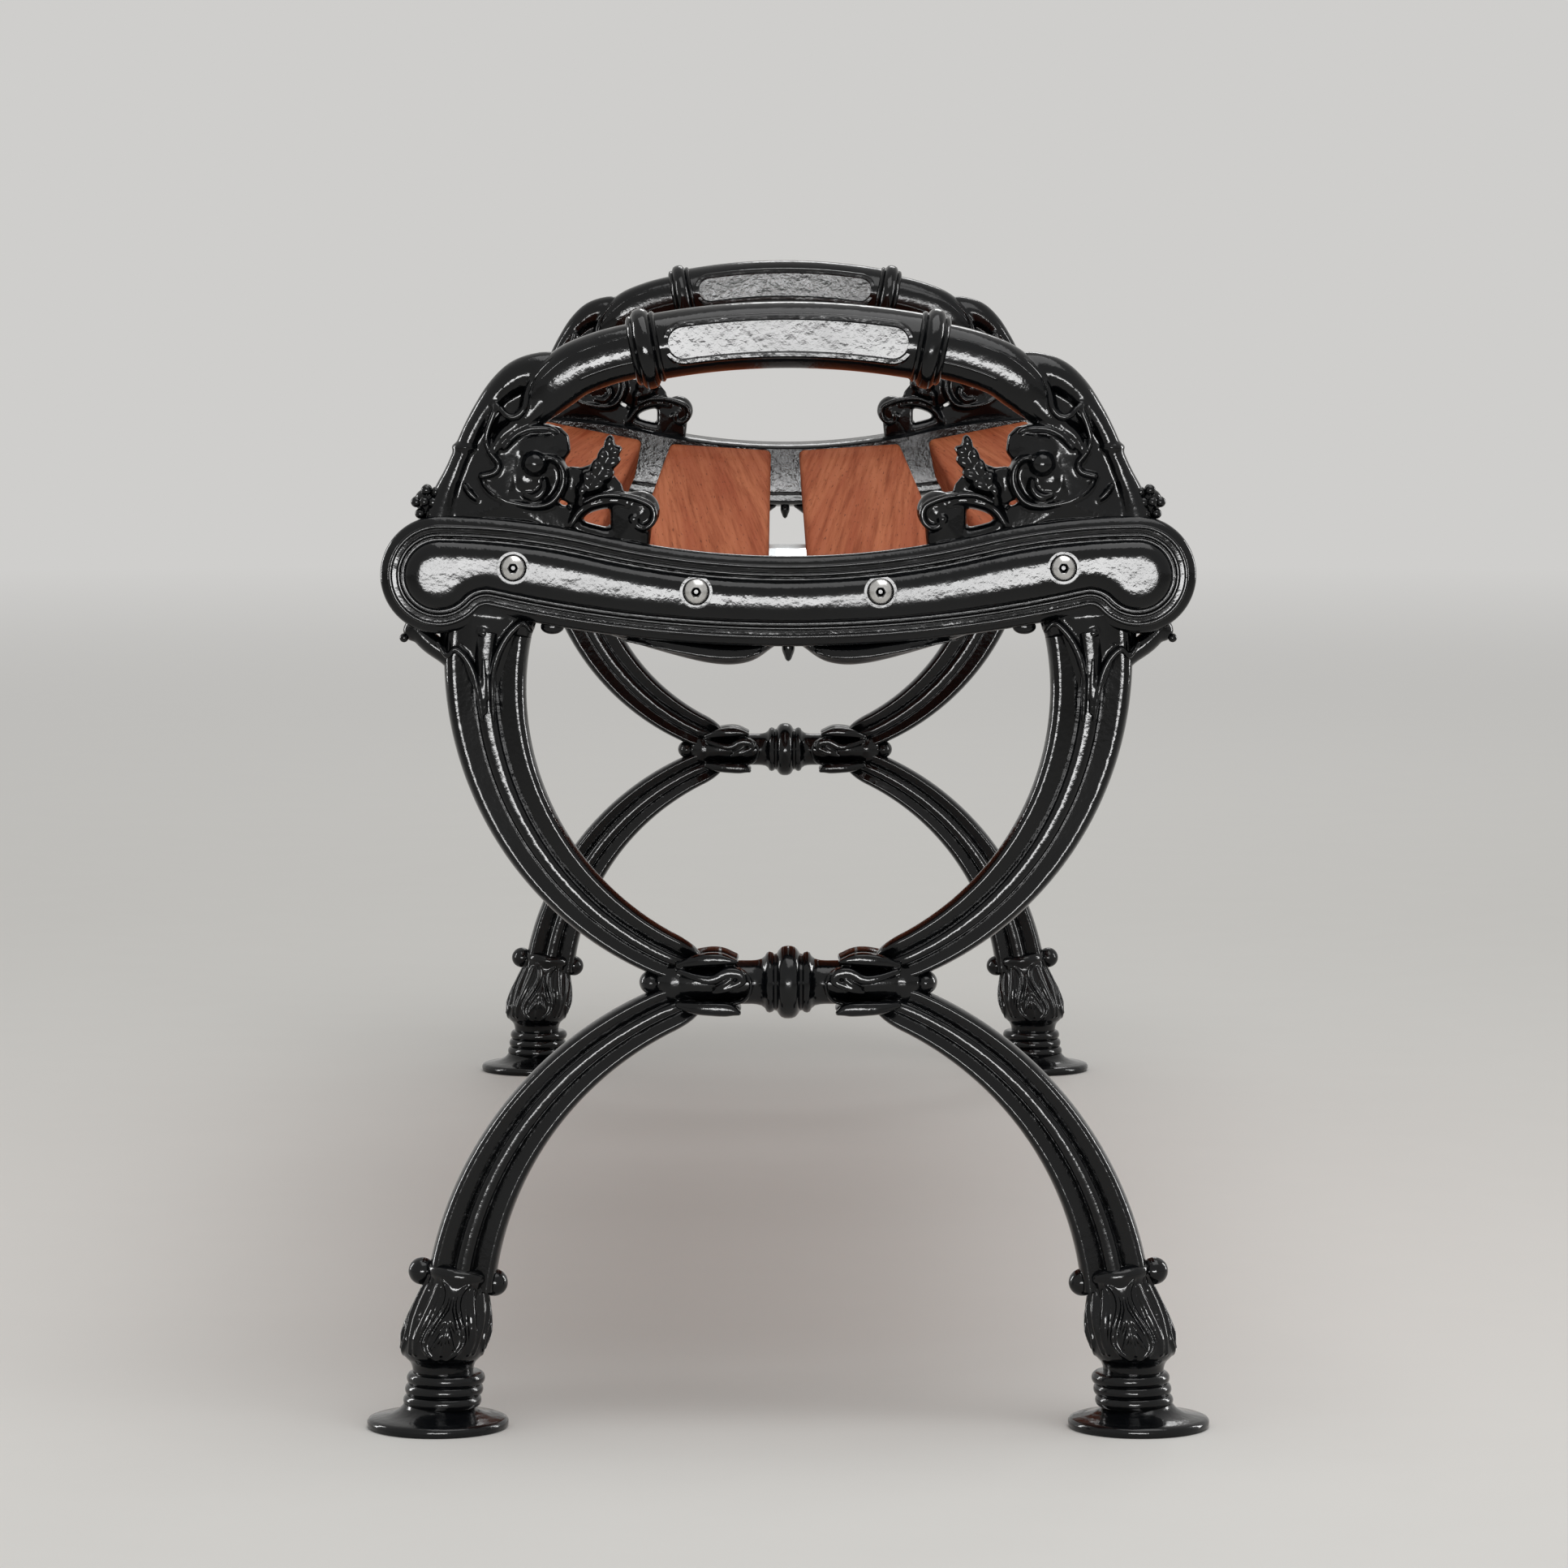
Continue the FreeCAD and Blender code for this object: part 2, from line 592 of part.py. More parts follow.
def upper_leg():
    """From an upright start under the rail, round to the link."""
    run = LEG_TOP - UPPER_LEG_END
    radius = (run.x ** 2 + run.z ** 2) / (2 * run.x)
    centre = LEG_TOP - X_AXIS * radius
    end = UPPER_LEG_END - centre
    last = math.atan2(end.z, end.x)
    top = (size("upper_leg_top_width"), size("upper_leg_top_depth"))
    link = (size("leg_link_width"), size("leg_link_depth"))
    head_place = point(LEG_TOP.x, RAIL_END.z - size("rail_end_radius") + size("rail_edge"))
    head = keeled_section(head_place, X_AXIS, top[0] + LEG_HEAD_FLARE, top[1])
    sections = [head] + leg_stations(centre, radius, 0, last, top, link) + [leg_tip(1, end.normalize())]
    return Part.makeLoft(sections, True, False)


def husk():
    """Two spreading petals on the head of the upper leg, standing proud of both faces."""
    deep = size("husk_half_depth")
    petals = {}
    for name, rows in (("outer_petal", OUTER_PETAL), ("inner_petal", INNER_PETAL)):
        petals[name] = horn(LEG_TOP, [(right, up, half, deep * share) for right, up, half, share in rows])
    return petals


def lower_leg():
    """From the link round to the foot's collar, nearly upright at the end."""
    upright = size("lower_leg_upright_height")
    start = LOWER_LEG_END
    end = FOOT_COLLAR
    start_up = start.z - upright
    end_up = end.z - upright
    centre_x = (end.x ** 2 - start.x ** 2 + end_up ** 2 - start_up ** 2) / (2 * (end.x - start.x))
    centre = point(centre_x, upright)
    radius = (end - centre).Length
    first = math.atan2(start_up, start.x - centre_x)
    last = math.atan2(end_up, end.x - centre_x) - LEG_INTO_FOOT
    link = (size("leg_link_width"), size("leg_link_depth"))
    foot = (size("lower_leg_foot_width"), size("lower_leg_foot_depth"))
    tip = leg_tip(-1, (start - centre).normalize())
    return Part.makeLoft([tip] + leg_stations(centre, radius, first, last, link, foot), True, False)


CALYX_BELLY = 0.35


def turned_link():
    """Turned middle link: a ring between two fillets, and a swelling calyx towards the legs on each side."""
    ring = size("link_ring_diameter") / 2
    half = size("link_ring_width") / 2
    fillet = size("link_fillet_diameter") / 2
    fillet_end = half + size("link_fillet_width")
    neck = size("link_neck_diameter") / 2
    calyx = size("calyx_diameter") / 2
    start = size("calyx_start")
    end = size("calyx_end")
    belly = start + (end - start) * CALYX_BELLY
    step = fillet_end + half / 3
    right = [(half / 2, ring), (half, fillet), (fillet_end, fillet), (step, neck), (start, neck),
             (belly, calyx), (end, neck)]
    left = [(-along, radius) for along, radius in right[::-1]]
    return turned(left + right, LINK, X_AXIS)


RING_COUNT = 3
RING_OVERLAP = 1.1
# The bell's flank from the collar down: shares of the way to the rings, and of the way from neck to full width.
BELL_FLANK = ((0.1, 0), (0.34, 0.1), (0.6, 0.6), (0.76, 0.95), (0.86, 1), (0.94, 0.8), (1, 0.4))


def foot_axis(height):
    """Place of the foot's leaning axis at a height."""
    return point(FOOT_COLLAR.x + size("foot_lean") * (1 - height / FOOT_COLLAR.z), height)


def foot_disc():
    """Flat disc on the floor that rises in a low dome to the rings."""
    disc = size("foot_disc_diameter") / 2
    thick = size("foot_disc_thickness")
    top = thick + size("foot_disc_dome")
    neck = size("foot_neck_diameter") / 2
    edge = size("foot_disc_edge")
    middle = ((thick + top) / 2, disc - 2 * size("foot_disc_dome"))
    outline = [(0, disc - edge), (edge, disc), (thick, disc), middle, (top, neck), (top + thick, neck)]
    return turned(outline, foot_axis(0), Z_AXIS)


def foot_rings():
    """Level rings, stacked on the disc along the leaning axis."""
    ring = size("foot_ring_diameter") / 2
    neck = size("foot_neck_diameter") / 2
    pitch = size("foot_ring_pitch")
    half = pitch / 2 * RING_OVERLAP
    low = size("foot_disc_thickness") + size("foot_disc_dome")
    outline = [(-half, neck), (-half / 2, ring), (half / 2, ring), (half, neck)]
    heights = [low + pitch * (index + 0.5) for index in range(RING_COUNT)]
    return {"foot_ring_%d" % number: turned(outline, foot_axis(height), Z_AXIS)
            for number, height in enumerate(heights, start=1)}


def foot():
    """Turned foot by name: disc and rings, then a bell and a collar with four balls, leaning with the leg."""
    disc_top = size("foot_disc_thickness") + size("foot_disc_dome")
    ring_top = foot_axis(disc_top + RING_COUNT * size("foot_ring_pitch"))
    axis = ring_top - FOOT_COLLAR
    throat = size("bell_neck_diameter") / 2
    collar = size("foot_collar_diameter") / 2
    half = size("foot_collar_width") / 2
    swell = size("bell_diameter") / 2 - throat
    flank = [(axis.Length * way, throat + swell * share) for way, share in BELL_FLANK]
    outline = [(-half, throat), (-half / 2, collar), (half / 2, collar), (half, throat)] + flank
    members = {"foot_disc": foot_disc(), "foot_bell": turned(outline, FOOT_COLLAR, axis)}
    members.update(foot_rings())
    out = axis.cross(Y_AXIS).normalize()
    for number, direction in enumerate((out, -out, Y_AXIS, -Y_AXIS), start=1):
        place = FOOT_COLLAR + direction * size("foot_ball_circle")
        members["foot_ball_%d" % number] = bead(place, size("foot_ball_radius"))
    return members


def knuckle():
    """Small ball in the outer crotch of the two legs."""
    radius = size("knuckle_radius")
    return bead(LINK + point(size("leg_link_half_gap") + radius, 0), radius)


def screw_places():
    """Centres of the screws on the rail, one at each slat's mid-thickness."""
    return [slat_point(index, 0, 0) for index in range(SLAT_COUNT)]


def screw_room():
    """Clearance holes through the rail and flat seats for the heads on its outer face."""
    depth = size("rail_back") + size("screw_seat_front") + size("ledge_reach")
    rooms = []
    for place in screw_places():
        front = place - Y_AXIS * size("screw_seat_front")
        rooms.append(Part.makeCylinder(size("screw_hole") / 2, depth, front, Y_AXIS))
        rooms.append(Part.makeCylinder(size("screw_seat_diameter") / 2, size("rail_back"), front, -Y_AXIS))
    return Part.Compound(rooms)


def end_frames():
    """The two castings: every member fused to the rail, drilled, then set at its end of the bench."""
    members = seat_rail()
    members.update(apron())
    members.update({"slat_ledge": slat_ledge(), "arm_sleeve": arm_sleeve(), "turned_link": turned_link()})
    one_side = {"upper_leg": upper_leg(), "lower_leg": lower_leg(), "knuckle": knuckle()}
    for group in (arm_side(), husk(), foot()):
        one_side.update(group)
    for name, member in one_side.items():
        members[name + "_right"] = member
        members[name + "_left"] = member.mirror(ORIGIN, X_AXIS)
    things = [feature(name, shape) for name, shape in members.items()]
    casting = doc.addObject("Part::MultiFuse", "casting")
    casting.Shapes = things
    drilled = doc.addObject("Part::Cut", "end_frame_near")
    drilled.Label = "end_frame_near"
    drilled.Base = casting
    drilled.Tool = feature("screw_room", screw_room())
    drilled.setExpression("Placement.Base.y", "-sizes.frame_pitch / 2")
    return [drilled, far_twin("end_frame_far", drilled)]


def far_twin(label, near):
    """The same piece at the far end of the bench, facing the other way."""
    twin = doc.addObject("Part::Mirroring", label)
    twin.Label = label
    twin.Source = near
    twin.Normal = Y_AXIS
    twin.Base = ORIGIN
    return twin


def new_body(label):
    body = doc.addObject("PartDesign::Body", label)
    body.Label = label
    return body


def origin_plane(body, role):
    return next(plane for plane in body.Origin.OriginFeatures if plane.Role == role)


def new_sketch(body, name, role, lift=None):
    """A sketch on one of the body's own planes, lifted off it by an expression."""
    sketch = body.newObject("Sketcher::SketchObject", name)
    sketch.AttachmentSupport = [(origin_plane(body, role), "")]
    sketch.MapMode = "FlatFace"
    if lift:
        sketch.setExpression("AttachmentOffset.Base.z", lift)
    return sketch


def add_circle(sketch, diameter, up=None, start=(0, 0)):
    """A circle on the sketch's upright axis, at the height given by an expression, or at its centre."""
    circle = sketch.addGeometry(Part.Circle(V(start[0], start[1], 0), Z_AXIS, 1))
    hold = sketch.addConstraint(Sketcher.Constraint("Diameter", circle, 2))
    sketch.setExpression("Constraints[%d]" % hold, diameter)
    if up is None:
        sketch.addConstraint(Sketcher.Constraint("Coincident", circle, 3, -1, 1))
        return
    sketch.addConstraint(Sketcher.Constraint("PointOnObject", circle, 3, -2))
    lift = sketch.addConstraint(Sketcher.Constraint("DistanceY", -1, 1, circle, 3, start[1]))
    sketch.setExpression("Constraints[%d]" % lift, up)


def add_rectangle(sketch, width, height, start):
    """A rectangle centred on the sketch's origin, with its sides given by expressions."""
    half_x, half_y = start[0] / 2, start[1] / 2
    corners = [V(-half_x, -half_y, 0), V(half_x, -half_y, 0), V(half_x, half_y, 0), V(-half_x, half_y, 0)]
    sides = [sketch.addGeometry(Part.LineSegment(corners[i], corners[(i + 1) % 4])) for i in range(4)]
    for i in range(4):
        sketch.addConstraint(Sketcher.Constraint("Coincident", sides[i], 2, sides[(i + 1) % 4], 1))
        sketch.addConstraint(Sketcher.Constraint("Horizontal" if i % 2 == 0 else "Vertical", sides[i]))
    sketch.addConstraint(Sketcher.Constraint("Symmetric", sides[0], 1, sides[2], 1, -1, 1))
    wide = sketch.addConstraint(Sketcher.Constraint("DistanceX", sides[0], 1, sides[0], 2, start[0]))
    high = sketch.addConstraint(Sketcher.Constraint("DistanceY", sides[1], 1, sides[1], 2, start[1]))
    sketch.setExpression("Constraints[%d]" % wide, width)
    sketch.setExpression("Constraints[%d]" % high, height)


def add_profile(sketch, corners):
    """A closed outline through corners given as pairs of expressions, measured from the sketch's origin.
    A corner given as 0 lies on the axis."""
    places = [V(*[0 if text == "0" else float(doc.sizes.evalExpression(text)) for text in pair], 0)
              for pair in corners]
    count = len(corners)
    sides = [sketch.addGeometry(Part.LineSegment(places[i], places[(i + 1) % count])) for i in range(count)]
    for i in range(count):
        sketch.addConstraint(Sketcher.Constraint("Coincident", sides[i], 2, sides[(i + 1) % count], 1))
    for side, pair, place in zip(sides, corners, places):
        across = (pair[0], "DistanceX", -2, place.x)
        up = (pair[1], "DistanceY", -1, place.y)
        for text, kind, axis, value in (across, up):
            if text == "0":
                sketch.addConstraint(Sketcher.Constraint("PointOnObject", side, 1, axis))
            else:
                held = sketch.addConstraint(Sketcher.Constraint(kind, -1, 1, side, 1, value))
                sketch.setExpression("Constraints[%d]" % held, text)


def add_pad(body, name, sketch, length):
    pad = body.newObject("PartDesign::Pad", name)
    pad.Profile = sketch
    pad.SideType = "Symmetric"
    pad.setExpression("Length", length)
    doc.recompute()
    return pad


def add_pocket(body, name, sketch, length, reverse=False):
    """A pocket of a given depth, which has to take material away."""
    before = body.Shape.Volume
    pocket = body.newObject("PartDesign::Pocket", name)
    pocket.Profile = sketch
    pocket.Reversed = reverse
    pocket.setExpression("Length", length)
    doc.recompute()
    if body.Shape.Volume >= before:
        raise ValueError("%s cuts nothing" % pocket.Name)
    return pocket


def add_mirror(body, name, features, role):
    mirror = body.newObject("PartDesign::Mirrored", name)
    mirror.Originals = features
    mirror.MirrorPlane = (origin_plane(body, role), [""])
    body.Tip = mirror
    doc.recompute()
    return mirror


def seat_slat(index):
    """One board with eased long edges, bored at each end for its screw and from below for the nut."""
    label = "seat_slat_%d" % (index + 1)
    body = new_body(label)
    length = "(sizes.frame_pitch - 2 * sizes.rail_back - 2 * sizes.slat_end_clearance)"
    section = new_sketch(body, label + "_section", "XZ_Plane")
    add_rectangle(section, "sizes.slat_width", "sizes.slat_thickness",
                  (size("slat_width"), size("slat_thickness")))
    board = add_pad(body, label + "_board", section, length)
    long_edges = ["Edge%d" % number for number, edge in enumerate(board.Shape.Edges, start=1)
                  if abs(edge.tangentAt(edge.FirstParameter).y) > 0.99]
    easing = body.newObject("PartDesign::Fillet", label + "_easing")
    easing.Base = (board, long_edges)
    easing.setExpression("Radius", "sizes.slat_edge_round")
    doc.recompute()
    bore = new_sketch(body, label + "_bore_end", "XZ_Plane", length + " / 2")
    add_circle(bore, "sizes.screw_hole")
    bored = add_pocket(body, label + "_bore", bore, "sizes.nut_inset + sizes.nut_diameter / 2"
                       " + sizes.screw_past_nut + sizes.screw_bore_clearance")
    seat = new_sketch(body, label + "_nut_seat", "XY_Plane", "-sizes.slat_thickness / 2")
    add_circle(seat, "sizes.nut_diameter + 2 * sizes.nut_clearance", "(" + length + " / 2 - sizes.nut_inset)",
               (0, SLAT_LENGTH / 2 - size("nut_inset")))
    seated = add_pocket(body, label + "_nut_hole", seat,
                        "sizes.slat_thickness / 2 + sizes.nut_length / 2 + sizes.nut_clearance", True)
    add_mirror(body, label + "_other_end", [bored, seated], "XZ_Plane")
    pilot = new_sketch(body, label + "_pilot_mark", "XY_Plane", "-sizes.slat_thickness / 2")
    add_circle(pilot, "sizes.wood_screw_diameter + 2 * sizes.wood_screw_clearance")
    add_pocket(body, label + "_pilot", pilot,
               "sizes.wood_screw_length - sizes.bar_thickness + sizes.screw_bore_clearance", True)
    body.Placement = slat_placement(index)
    return body


def centre_bar():
    """Flat bar bent to lie under all the slats at half length, with a hole under each."""
    width = size("bar_width")
    strip = under_slats(size("bar_thickness")).extrude(V(0, width, 0))
    strip.translate(V(0, -width / 2, 0))
    for index in range(SLAT_COUNT):
        hole = Part.makeCylinder(size("bar_hole") / 2, 2 * size("slat_thickness"))
        hole.Placement = slat_placement(index).multiply(
            FreeCAD.Placement(V(0, 0, -2 * size("slat_thickness")), FreeCAD.Rotation()))
        strip = strip.cut(hole)
    return feature("centre_bar", strip)


def frame_screw():
    """Button-head socket screw along Z, with its tip at the origin and its head upwards."""
    body = new_body("frame_screw")
    under = ("(sizes.screw_seat_front + sizes.rail_back + sizes.slat_end_clearance + sizes.nut_inset"
             " + sizes.nut_diameter / 2 + sizes.screw_past_nut)")
    shank = "sizes.screw_diameter / 2"
    head = "sizes.screw_head_diameter / 2"
    profile = new_sketch(body, "frame_screw_profile", "XZ_Plane")
    add_profile(profile, [
        ("0", "0"), (shank, "0"), (shank, under), (head, under),
        (head, under + " + sizes.screw_head_rim"),
        ("sizes.screw_head_top_diameter / 2", under + " + sizes.screw_head_height"),
        ("0", under + " + sizes.screw_head_height"),
    ])
    turning = body.newObject("PartDesign::Revolution", "frame_screw_turning")
    turning.Profile = profile
    turning.ReferenceAxis = (profile, ["V_Axis"])
    turning.Angle = 360
    doc.recompute()
    socket = new_sketch(body, "frame_screw_socket_mark", "XY_Plane", under + " + sizes.screw_head_height")
    add_hexagon(socket, "sizes.screw_socket", size("screw_socket"))
    add_pocket(body, "frame_screw_socket", socket, "sizes.screw_socket_depth")
    return body


def add_hexagon(sketch, across_flats, start):
    """A hexagon about the sketch's origin, on a construction circle through its corners."""
    reach = start / math.sqrt(3)
    corners = [V(reach * math.cos(math.pi / 3 * i), reach * math.sin(math.pi / 3 * i), 0) for i in range(6)]
    ring = sketch.addGeometry(Part.Circle(ORIGIN, Z_AXIS, reach), True)
    sketch.addConstraint(Sketcher.Constraint("Coincident", ring, 3, -1, 1))
    held = sketch.addConstraint(Sketcher.Constraint("Radius", ring, reach))
    sketch.setExpression("Constraints[%d]" % held, across_flats + " / sqrt(3)")
    sides = [sketch.addGeometry(Part.LineSegment(corners[i], corners[(i + 1) % 6])) for i in range(6)]
    for i in range(6):
        sketch.addConstraint(Sketcher.Constraint("Coincident", sides[i], 2, sides[(i + 1) % 6], 1))
        sketch.addConstraint(Sketcher.Constraint("PointOnObject", sides[i], 1, ring))
    for i in range(1, 6):
        sketch.addConstraint(Sketcher.Constraint("Equal", sides[0], sides[i]))
    sketch.addConstraint(Sketcher.Constraint("PointOnObject", sides[0], 1, -1))


def barrel_nut():
    """Cross-drilled cylinder, upright, with a slot in its lower end for turning it in line."""
    body = new_body("barrel_nut")
    round_section = new_sketch(body, "barrel_nut_section", "XY_Plane")
    add_circle(round_section, "sizes.nut_diameter")
    add_pad(body, "barrel_nut_barrel", round_section, "sizes.nut_length")
    cross = new_sketch(body, "barrel_nut_cross", "XZ_Plane", "sizes.nut_diameter")
    add_circle(cross, "sizes.screw_diameter + 2 * sizes.thread_clearance")
    add_pocket(body, "barrel_nut_thread", cross, "2 * sizes.nut_diameter")
    slot = new_sketch(body, "barrel_nut_slot_mark", "XY_Plane", "-sizes.nut_length / 2")
    add_rectangle(slot, "sizes.nut_slot_width", "2 * sizes.nut_diameter",
                  (size("nut_slot_width"), 2 * size("nut_diameter")))
    add_pocket(body, "barrel_nut_slot", slot, "sizes.nut_slot_depth", True)
    return body


def bar_screw():
    """Pan-head wood screw along Z, with the underside of its head at the origin and its point upwards."""
    body = new_body("bar_screw")
    shank = "sizes.wood_screw_diameter / 2"
    head = "sizes.wood_screw_head_diameter / 2"
    rise = "sizes.wood_screw_head_height"
    total = "(sizes.wood_screw_head_height + sizes.wood_screw_length)"
    profile = new_sketch(body, "bar_screw_profile", "XZ_Plane")
    add_profile(profile, [
        ("0", "0"), (head + " - sizes.wood_screw_head_height / 3", "0"),
        (head, "sizes.wood_screw_head_height / 2"), (head, rise), (shank, rise),
        (shank, total + " - 2 * sizes.wood_screw_diameter"), ("0", total),
    ])
    turning = body.newObject("PartDesign::Revolution", "bar_screw_turning")
    turning.Profile = profile
    turning.ReferenceAxis = (profile, ["V_Axis"])
    turning.Angle = 360
    doc.recompute()
    return body


def placed(shape, placement):
    """A copy of a shape at a placement."""
    copy = shape.copy()
    copy.Placement = placement
    return copy


def fastener_groups():
    """Screws and nuts of the near end, their far twins, and the screws of the centre bar."""
    half_pitch = size("frame_pitch") / 2
    screw = frame_screw().Shape
    nut = barrel_nut().Shape
    wood_screw = bar_screw().Shape
    reach = screw.BoundBox.ZMax - size("screw_head_height")
    head_first = FreeCAD.Rotation(X_AXIS, 90)
    tip_y = -half_pitch - size("screw_seat_front") + reach
    nut_y = -half_pitch + size("rail_back") + size("slat_end_clearance") + size("nut_inset")
    screws = [placed(screw, FreeCAD.Placement(place + V(0, tip_y, 0), head_first)) for place in screw_places()]
    nuts = [placed(nut, slat_placement(index, nut_y)) for index in range(SLAT_COUNT)]
    drop = HALF_SLAT + size("bar_thickness") + size("wood_screw_head_height")
    below = FreeCAD.Placement(V(0, 0, -drop), FreeCAD.Rotation())
    bar_screws = [placed(wood_screw, slat_placement(index).multiply(below)) for index in range(SLAT_COUNT)]
    near_screws = feature("frame_screws_near", Part.Compound(screws))
    near_nuts = feature("barrel_nuts_near", Part.Compound(nuts))
    return [
        near_screws, far_twin("frame_screws_far", near_screws),
        near_nuts, far_twin("barrel_nuts_far", near_nuts),
        feature("centre_bar_screws", Part.Compound(bar_screws)),
    ]


nodes = end_frames() + [seat_slat(index) for index in range(SLAT_COUNT)] + [centre_bar()] + fastener_groups()
doc.recompute()

for thing in doc.Objects:
    if "Invalid" in thing.State or "Error" in thing.State:
        raise ValueError("%s failed: %s" % (thing.Label, thing.State))
for node in nodes:
    if node.Shape.isNull() or not node.Shape.isValid():
        raise ValueError("%s has no valid shape" % node.Label)

os.makedirs("parts", exist_ok=True)
for node in nodes:
    node.Shape.exportStep("parts/%s.step" % node.Label)
    print("%s: %d solids, %.0f mm3" % (node.Label, len(node.Shape.Solids), node.Shape.Volume))
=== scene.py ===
import json
import math

import bmesh
import bpy
import numpy as np
from bpy.props import FloatProperty, FloatVectorProperty, PointerProperty
from mathutils import Matrix, Vector


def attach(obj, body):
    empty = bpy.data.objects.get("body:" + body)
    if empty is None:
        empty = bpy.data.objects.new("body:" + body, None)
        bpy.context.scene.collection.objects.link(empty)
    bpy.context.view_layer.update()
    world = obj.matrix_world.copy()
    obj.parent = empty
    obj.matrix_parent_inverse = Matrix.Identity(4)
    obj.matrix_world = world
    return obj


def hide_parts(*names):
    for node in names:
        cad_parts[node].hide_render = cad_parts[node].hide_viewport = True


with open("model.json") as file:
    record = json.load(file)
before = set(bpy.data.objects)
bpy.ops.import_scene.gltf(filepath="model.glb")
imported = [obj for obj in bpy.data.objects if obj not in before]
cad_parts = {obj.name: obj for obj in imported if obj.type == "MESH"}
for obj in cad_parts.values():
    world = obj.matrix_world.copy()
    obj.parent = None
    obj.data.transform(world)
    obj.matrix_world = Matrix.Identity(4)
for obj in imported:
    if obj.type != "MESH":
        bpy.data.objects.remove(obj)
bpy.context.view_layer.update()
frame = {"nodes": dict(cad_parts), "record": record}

bl_info = {
    "name": "Scroll-arm bench",
    "version": (1, 0, 0),
    "blender": (4, 5, 0),
    "location": "View3D > Sidebar > Bench",
    "description": "Dresses the bench frame with its painted castings, hardwood slats and bright screws",
    "category": "Add Mesh",
}

# Every piece of an end frame is modelled once, in millimetres, in the frame's own plane: x across the
# seat, y through the casting with the outer face at minus y, z up from the floor. It is then set at the
# near end of the bench and, mirrored, at the far end. Shapes named for one side are the right-hand ones.
MM = 0.001
FRONT = (0.0, -1.0, 0.0)
UP = (0.0, 0.0, 1.0)
BODY = "root"
END_PLANE = abs(frame["record"]["mounts"][0]["pos_m"][1]) / MM
FOOT_X = abs(frame["record"]["mounts"][0]["pos_m"][0]) / MM

# Seat line
SLAT_COUNT = 4
SLAT_WIDTH = 73.5
SLAT_GAP = 19.8
SLAT_THICKNESS = 30.0
SEAT_HEIGHT = 452.5
DISH_RADIUS = 720.0
SLAT_PITCH = SLAT_WIDTH + SLAT_GAP
HALF_SEAT = (SLAT_COUNT * SLAT_WIDTH + (SLAT_COUNT - 1) * SLAT_GAP) / 2

# Seat rail
RAIL_END_X = HALF_SEAT + 3.8
RAIL_TOP = SEAT_HEIGHT - 1.4
RAIL_BOTTOM = RAIL_TOP - 34.9
RAIL_RISE = 20.7
RAIL_INFLECTION = 100.0
RAIL_BULB = 24.5
RAIL_UNDER = 700.0
RAIL_CUSP = 9.0
RAIL_EDGE = 6.0
RAIL_DRAFT = 3.0
RAIL_BACK = 16.0
RAIL_FACE = -13.0
RAIL_SWEEP = 2 * math.atan(RAIL_RISE / RAIL_END_X)
RAIL_END_Z = RAIL_TOP + RAIL_RISE - RAIL_BULB
# Each bead of the rail's border: its offset from the outline and its depth behind the rail's face.
BEADS = ((0.7, 0.0), (-3.6, 0.8))
BOLSTER_FOOT = 1.8
BOLSTER_FULLNESS = 2.5

# Arm
ARM_TOP = SEAT_HEIGHT + 118.5
SLEEVE_HALF = 73.7
SLEEVE_SAG = 7.2
SLEEVE_BEND = (SLEEVE_HALF ** 2 + SLEEVE_SAG ** 2) / (2 * SLEEVE_SAG)
SLEEVE_TURN = math.asin(SLEEVE_HALF / SLEEVE_BEND)
PANEL_HALF = 54.0
PANEL_FLOOR = -14.8

# Legs
LEG_TOP = (RAIL_END_X - 23.5, SEAT_HEIGHT - 57.5)
LINK_HEIGHT = 234.4
LEG_LINK_X = 66.0
LEG_LINK_SPREAD = 15.3
FOOT_COLLAR = (LEG_TOP[0] + 13.4, 80.0)
LOWER_LEG_CENTRE_HEIGHT = 51.0

# Screws
SCREW_SEAT_Y = -16.5
SCREW_SEAT_RADIUS = 8.5


def hex_colour(text):
    """A linear colour from sRGB written as hex."""
    values = [int(text[i:i + 2], 16) / 255 for i in (1, 3, 5)]
    return tuple(v / 12.92 if v <= 0.04045 else ((v + 0.055) / 1.055) ** 2.4 for v in values)


def length(name, text, value):
    """A length property, given in millimetres."""
    return FloatProperty(name=name, description=text, default=value * MM, unit="LENGTH", precision=5)


def colour(name, text, value):
    """A colour property, given as sRGB hex."""
    return FloatVectorProperty(name=name, description=text, default=hex_colour(value), subtype="COLOR",
                               min=0.0, max=1.0, size=3)


class BenchSizes(bpy.types.PropertyGroup):
    """Sizes of the castings' members and of the screws."""
    bead: length("Rail bead", "Radius of the thin beads that run round the seat rail", 1.25)
    bolster: length("Bolster", "How far the rail's swelling middle stands out of its face", 7.0)
    sleeve: length("Arm sleeve", "Radius of the thick middle of the arm", 17.2)
    panel: length("Panel", "Height of the sunk bare panel on the arm sleeve", 16.0)
    collar: length("Arm collar", "Radius of the ring at each end of the sleeve", 21.0)
    tube: length("Arm tube", "Radius of the bent tube between collar and scroll", 14.3)
    leg_top: length("Leg top", "Width of the upper leg under the rail", 42.0)
    leg_link: length("Leg at link", "Width of each leg where it meets the link", 24.5)
    leg_foot: length("Leg at foot", "Width of the lower leg above its collar", 36.0)
    disc: length("Foot disc", "Radius of the disc that stands on the floor", 37.0)
    ball: length("Foot ball", "Radius of the balls beside the foot's collar", 7.2)
    screw_head: length("Screw head", "Radius of the button heads", 7.0)
    cell: length("Casting cell", "Size of the cells that fuse the ornament into one skin", 0.87)
    fine_cell: length("Fine casting cell", "Size of the cells where the ornament is finest", 0.62)


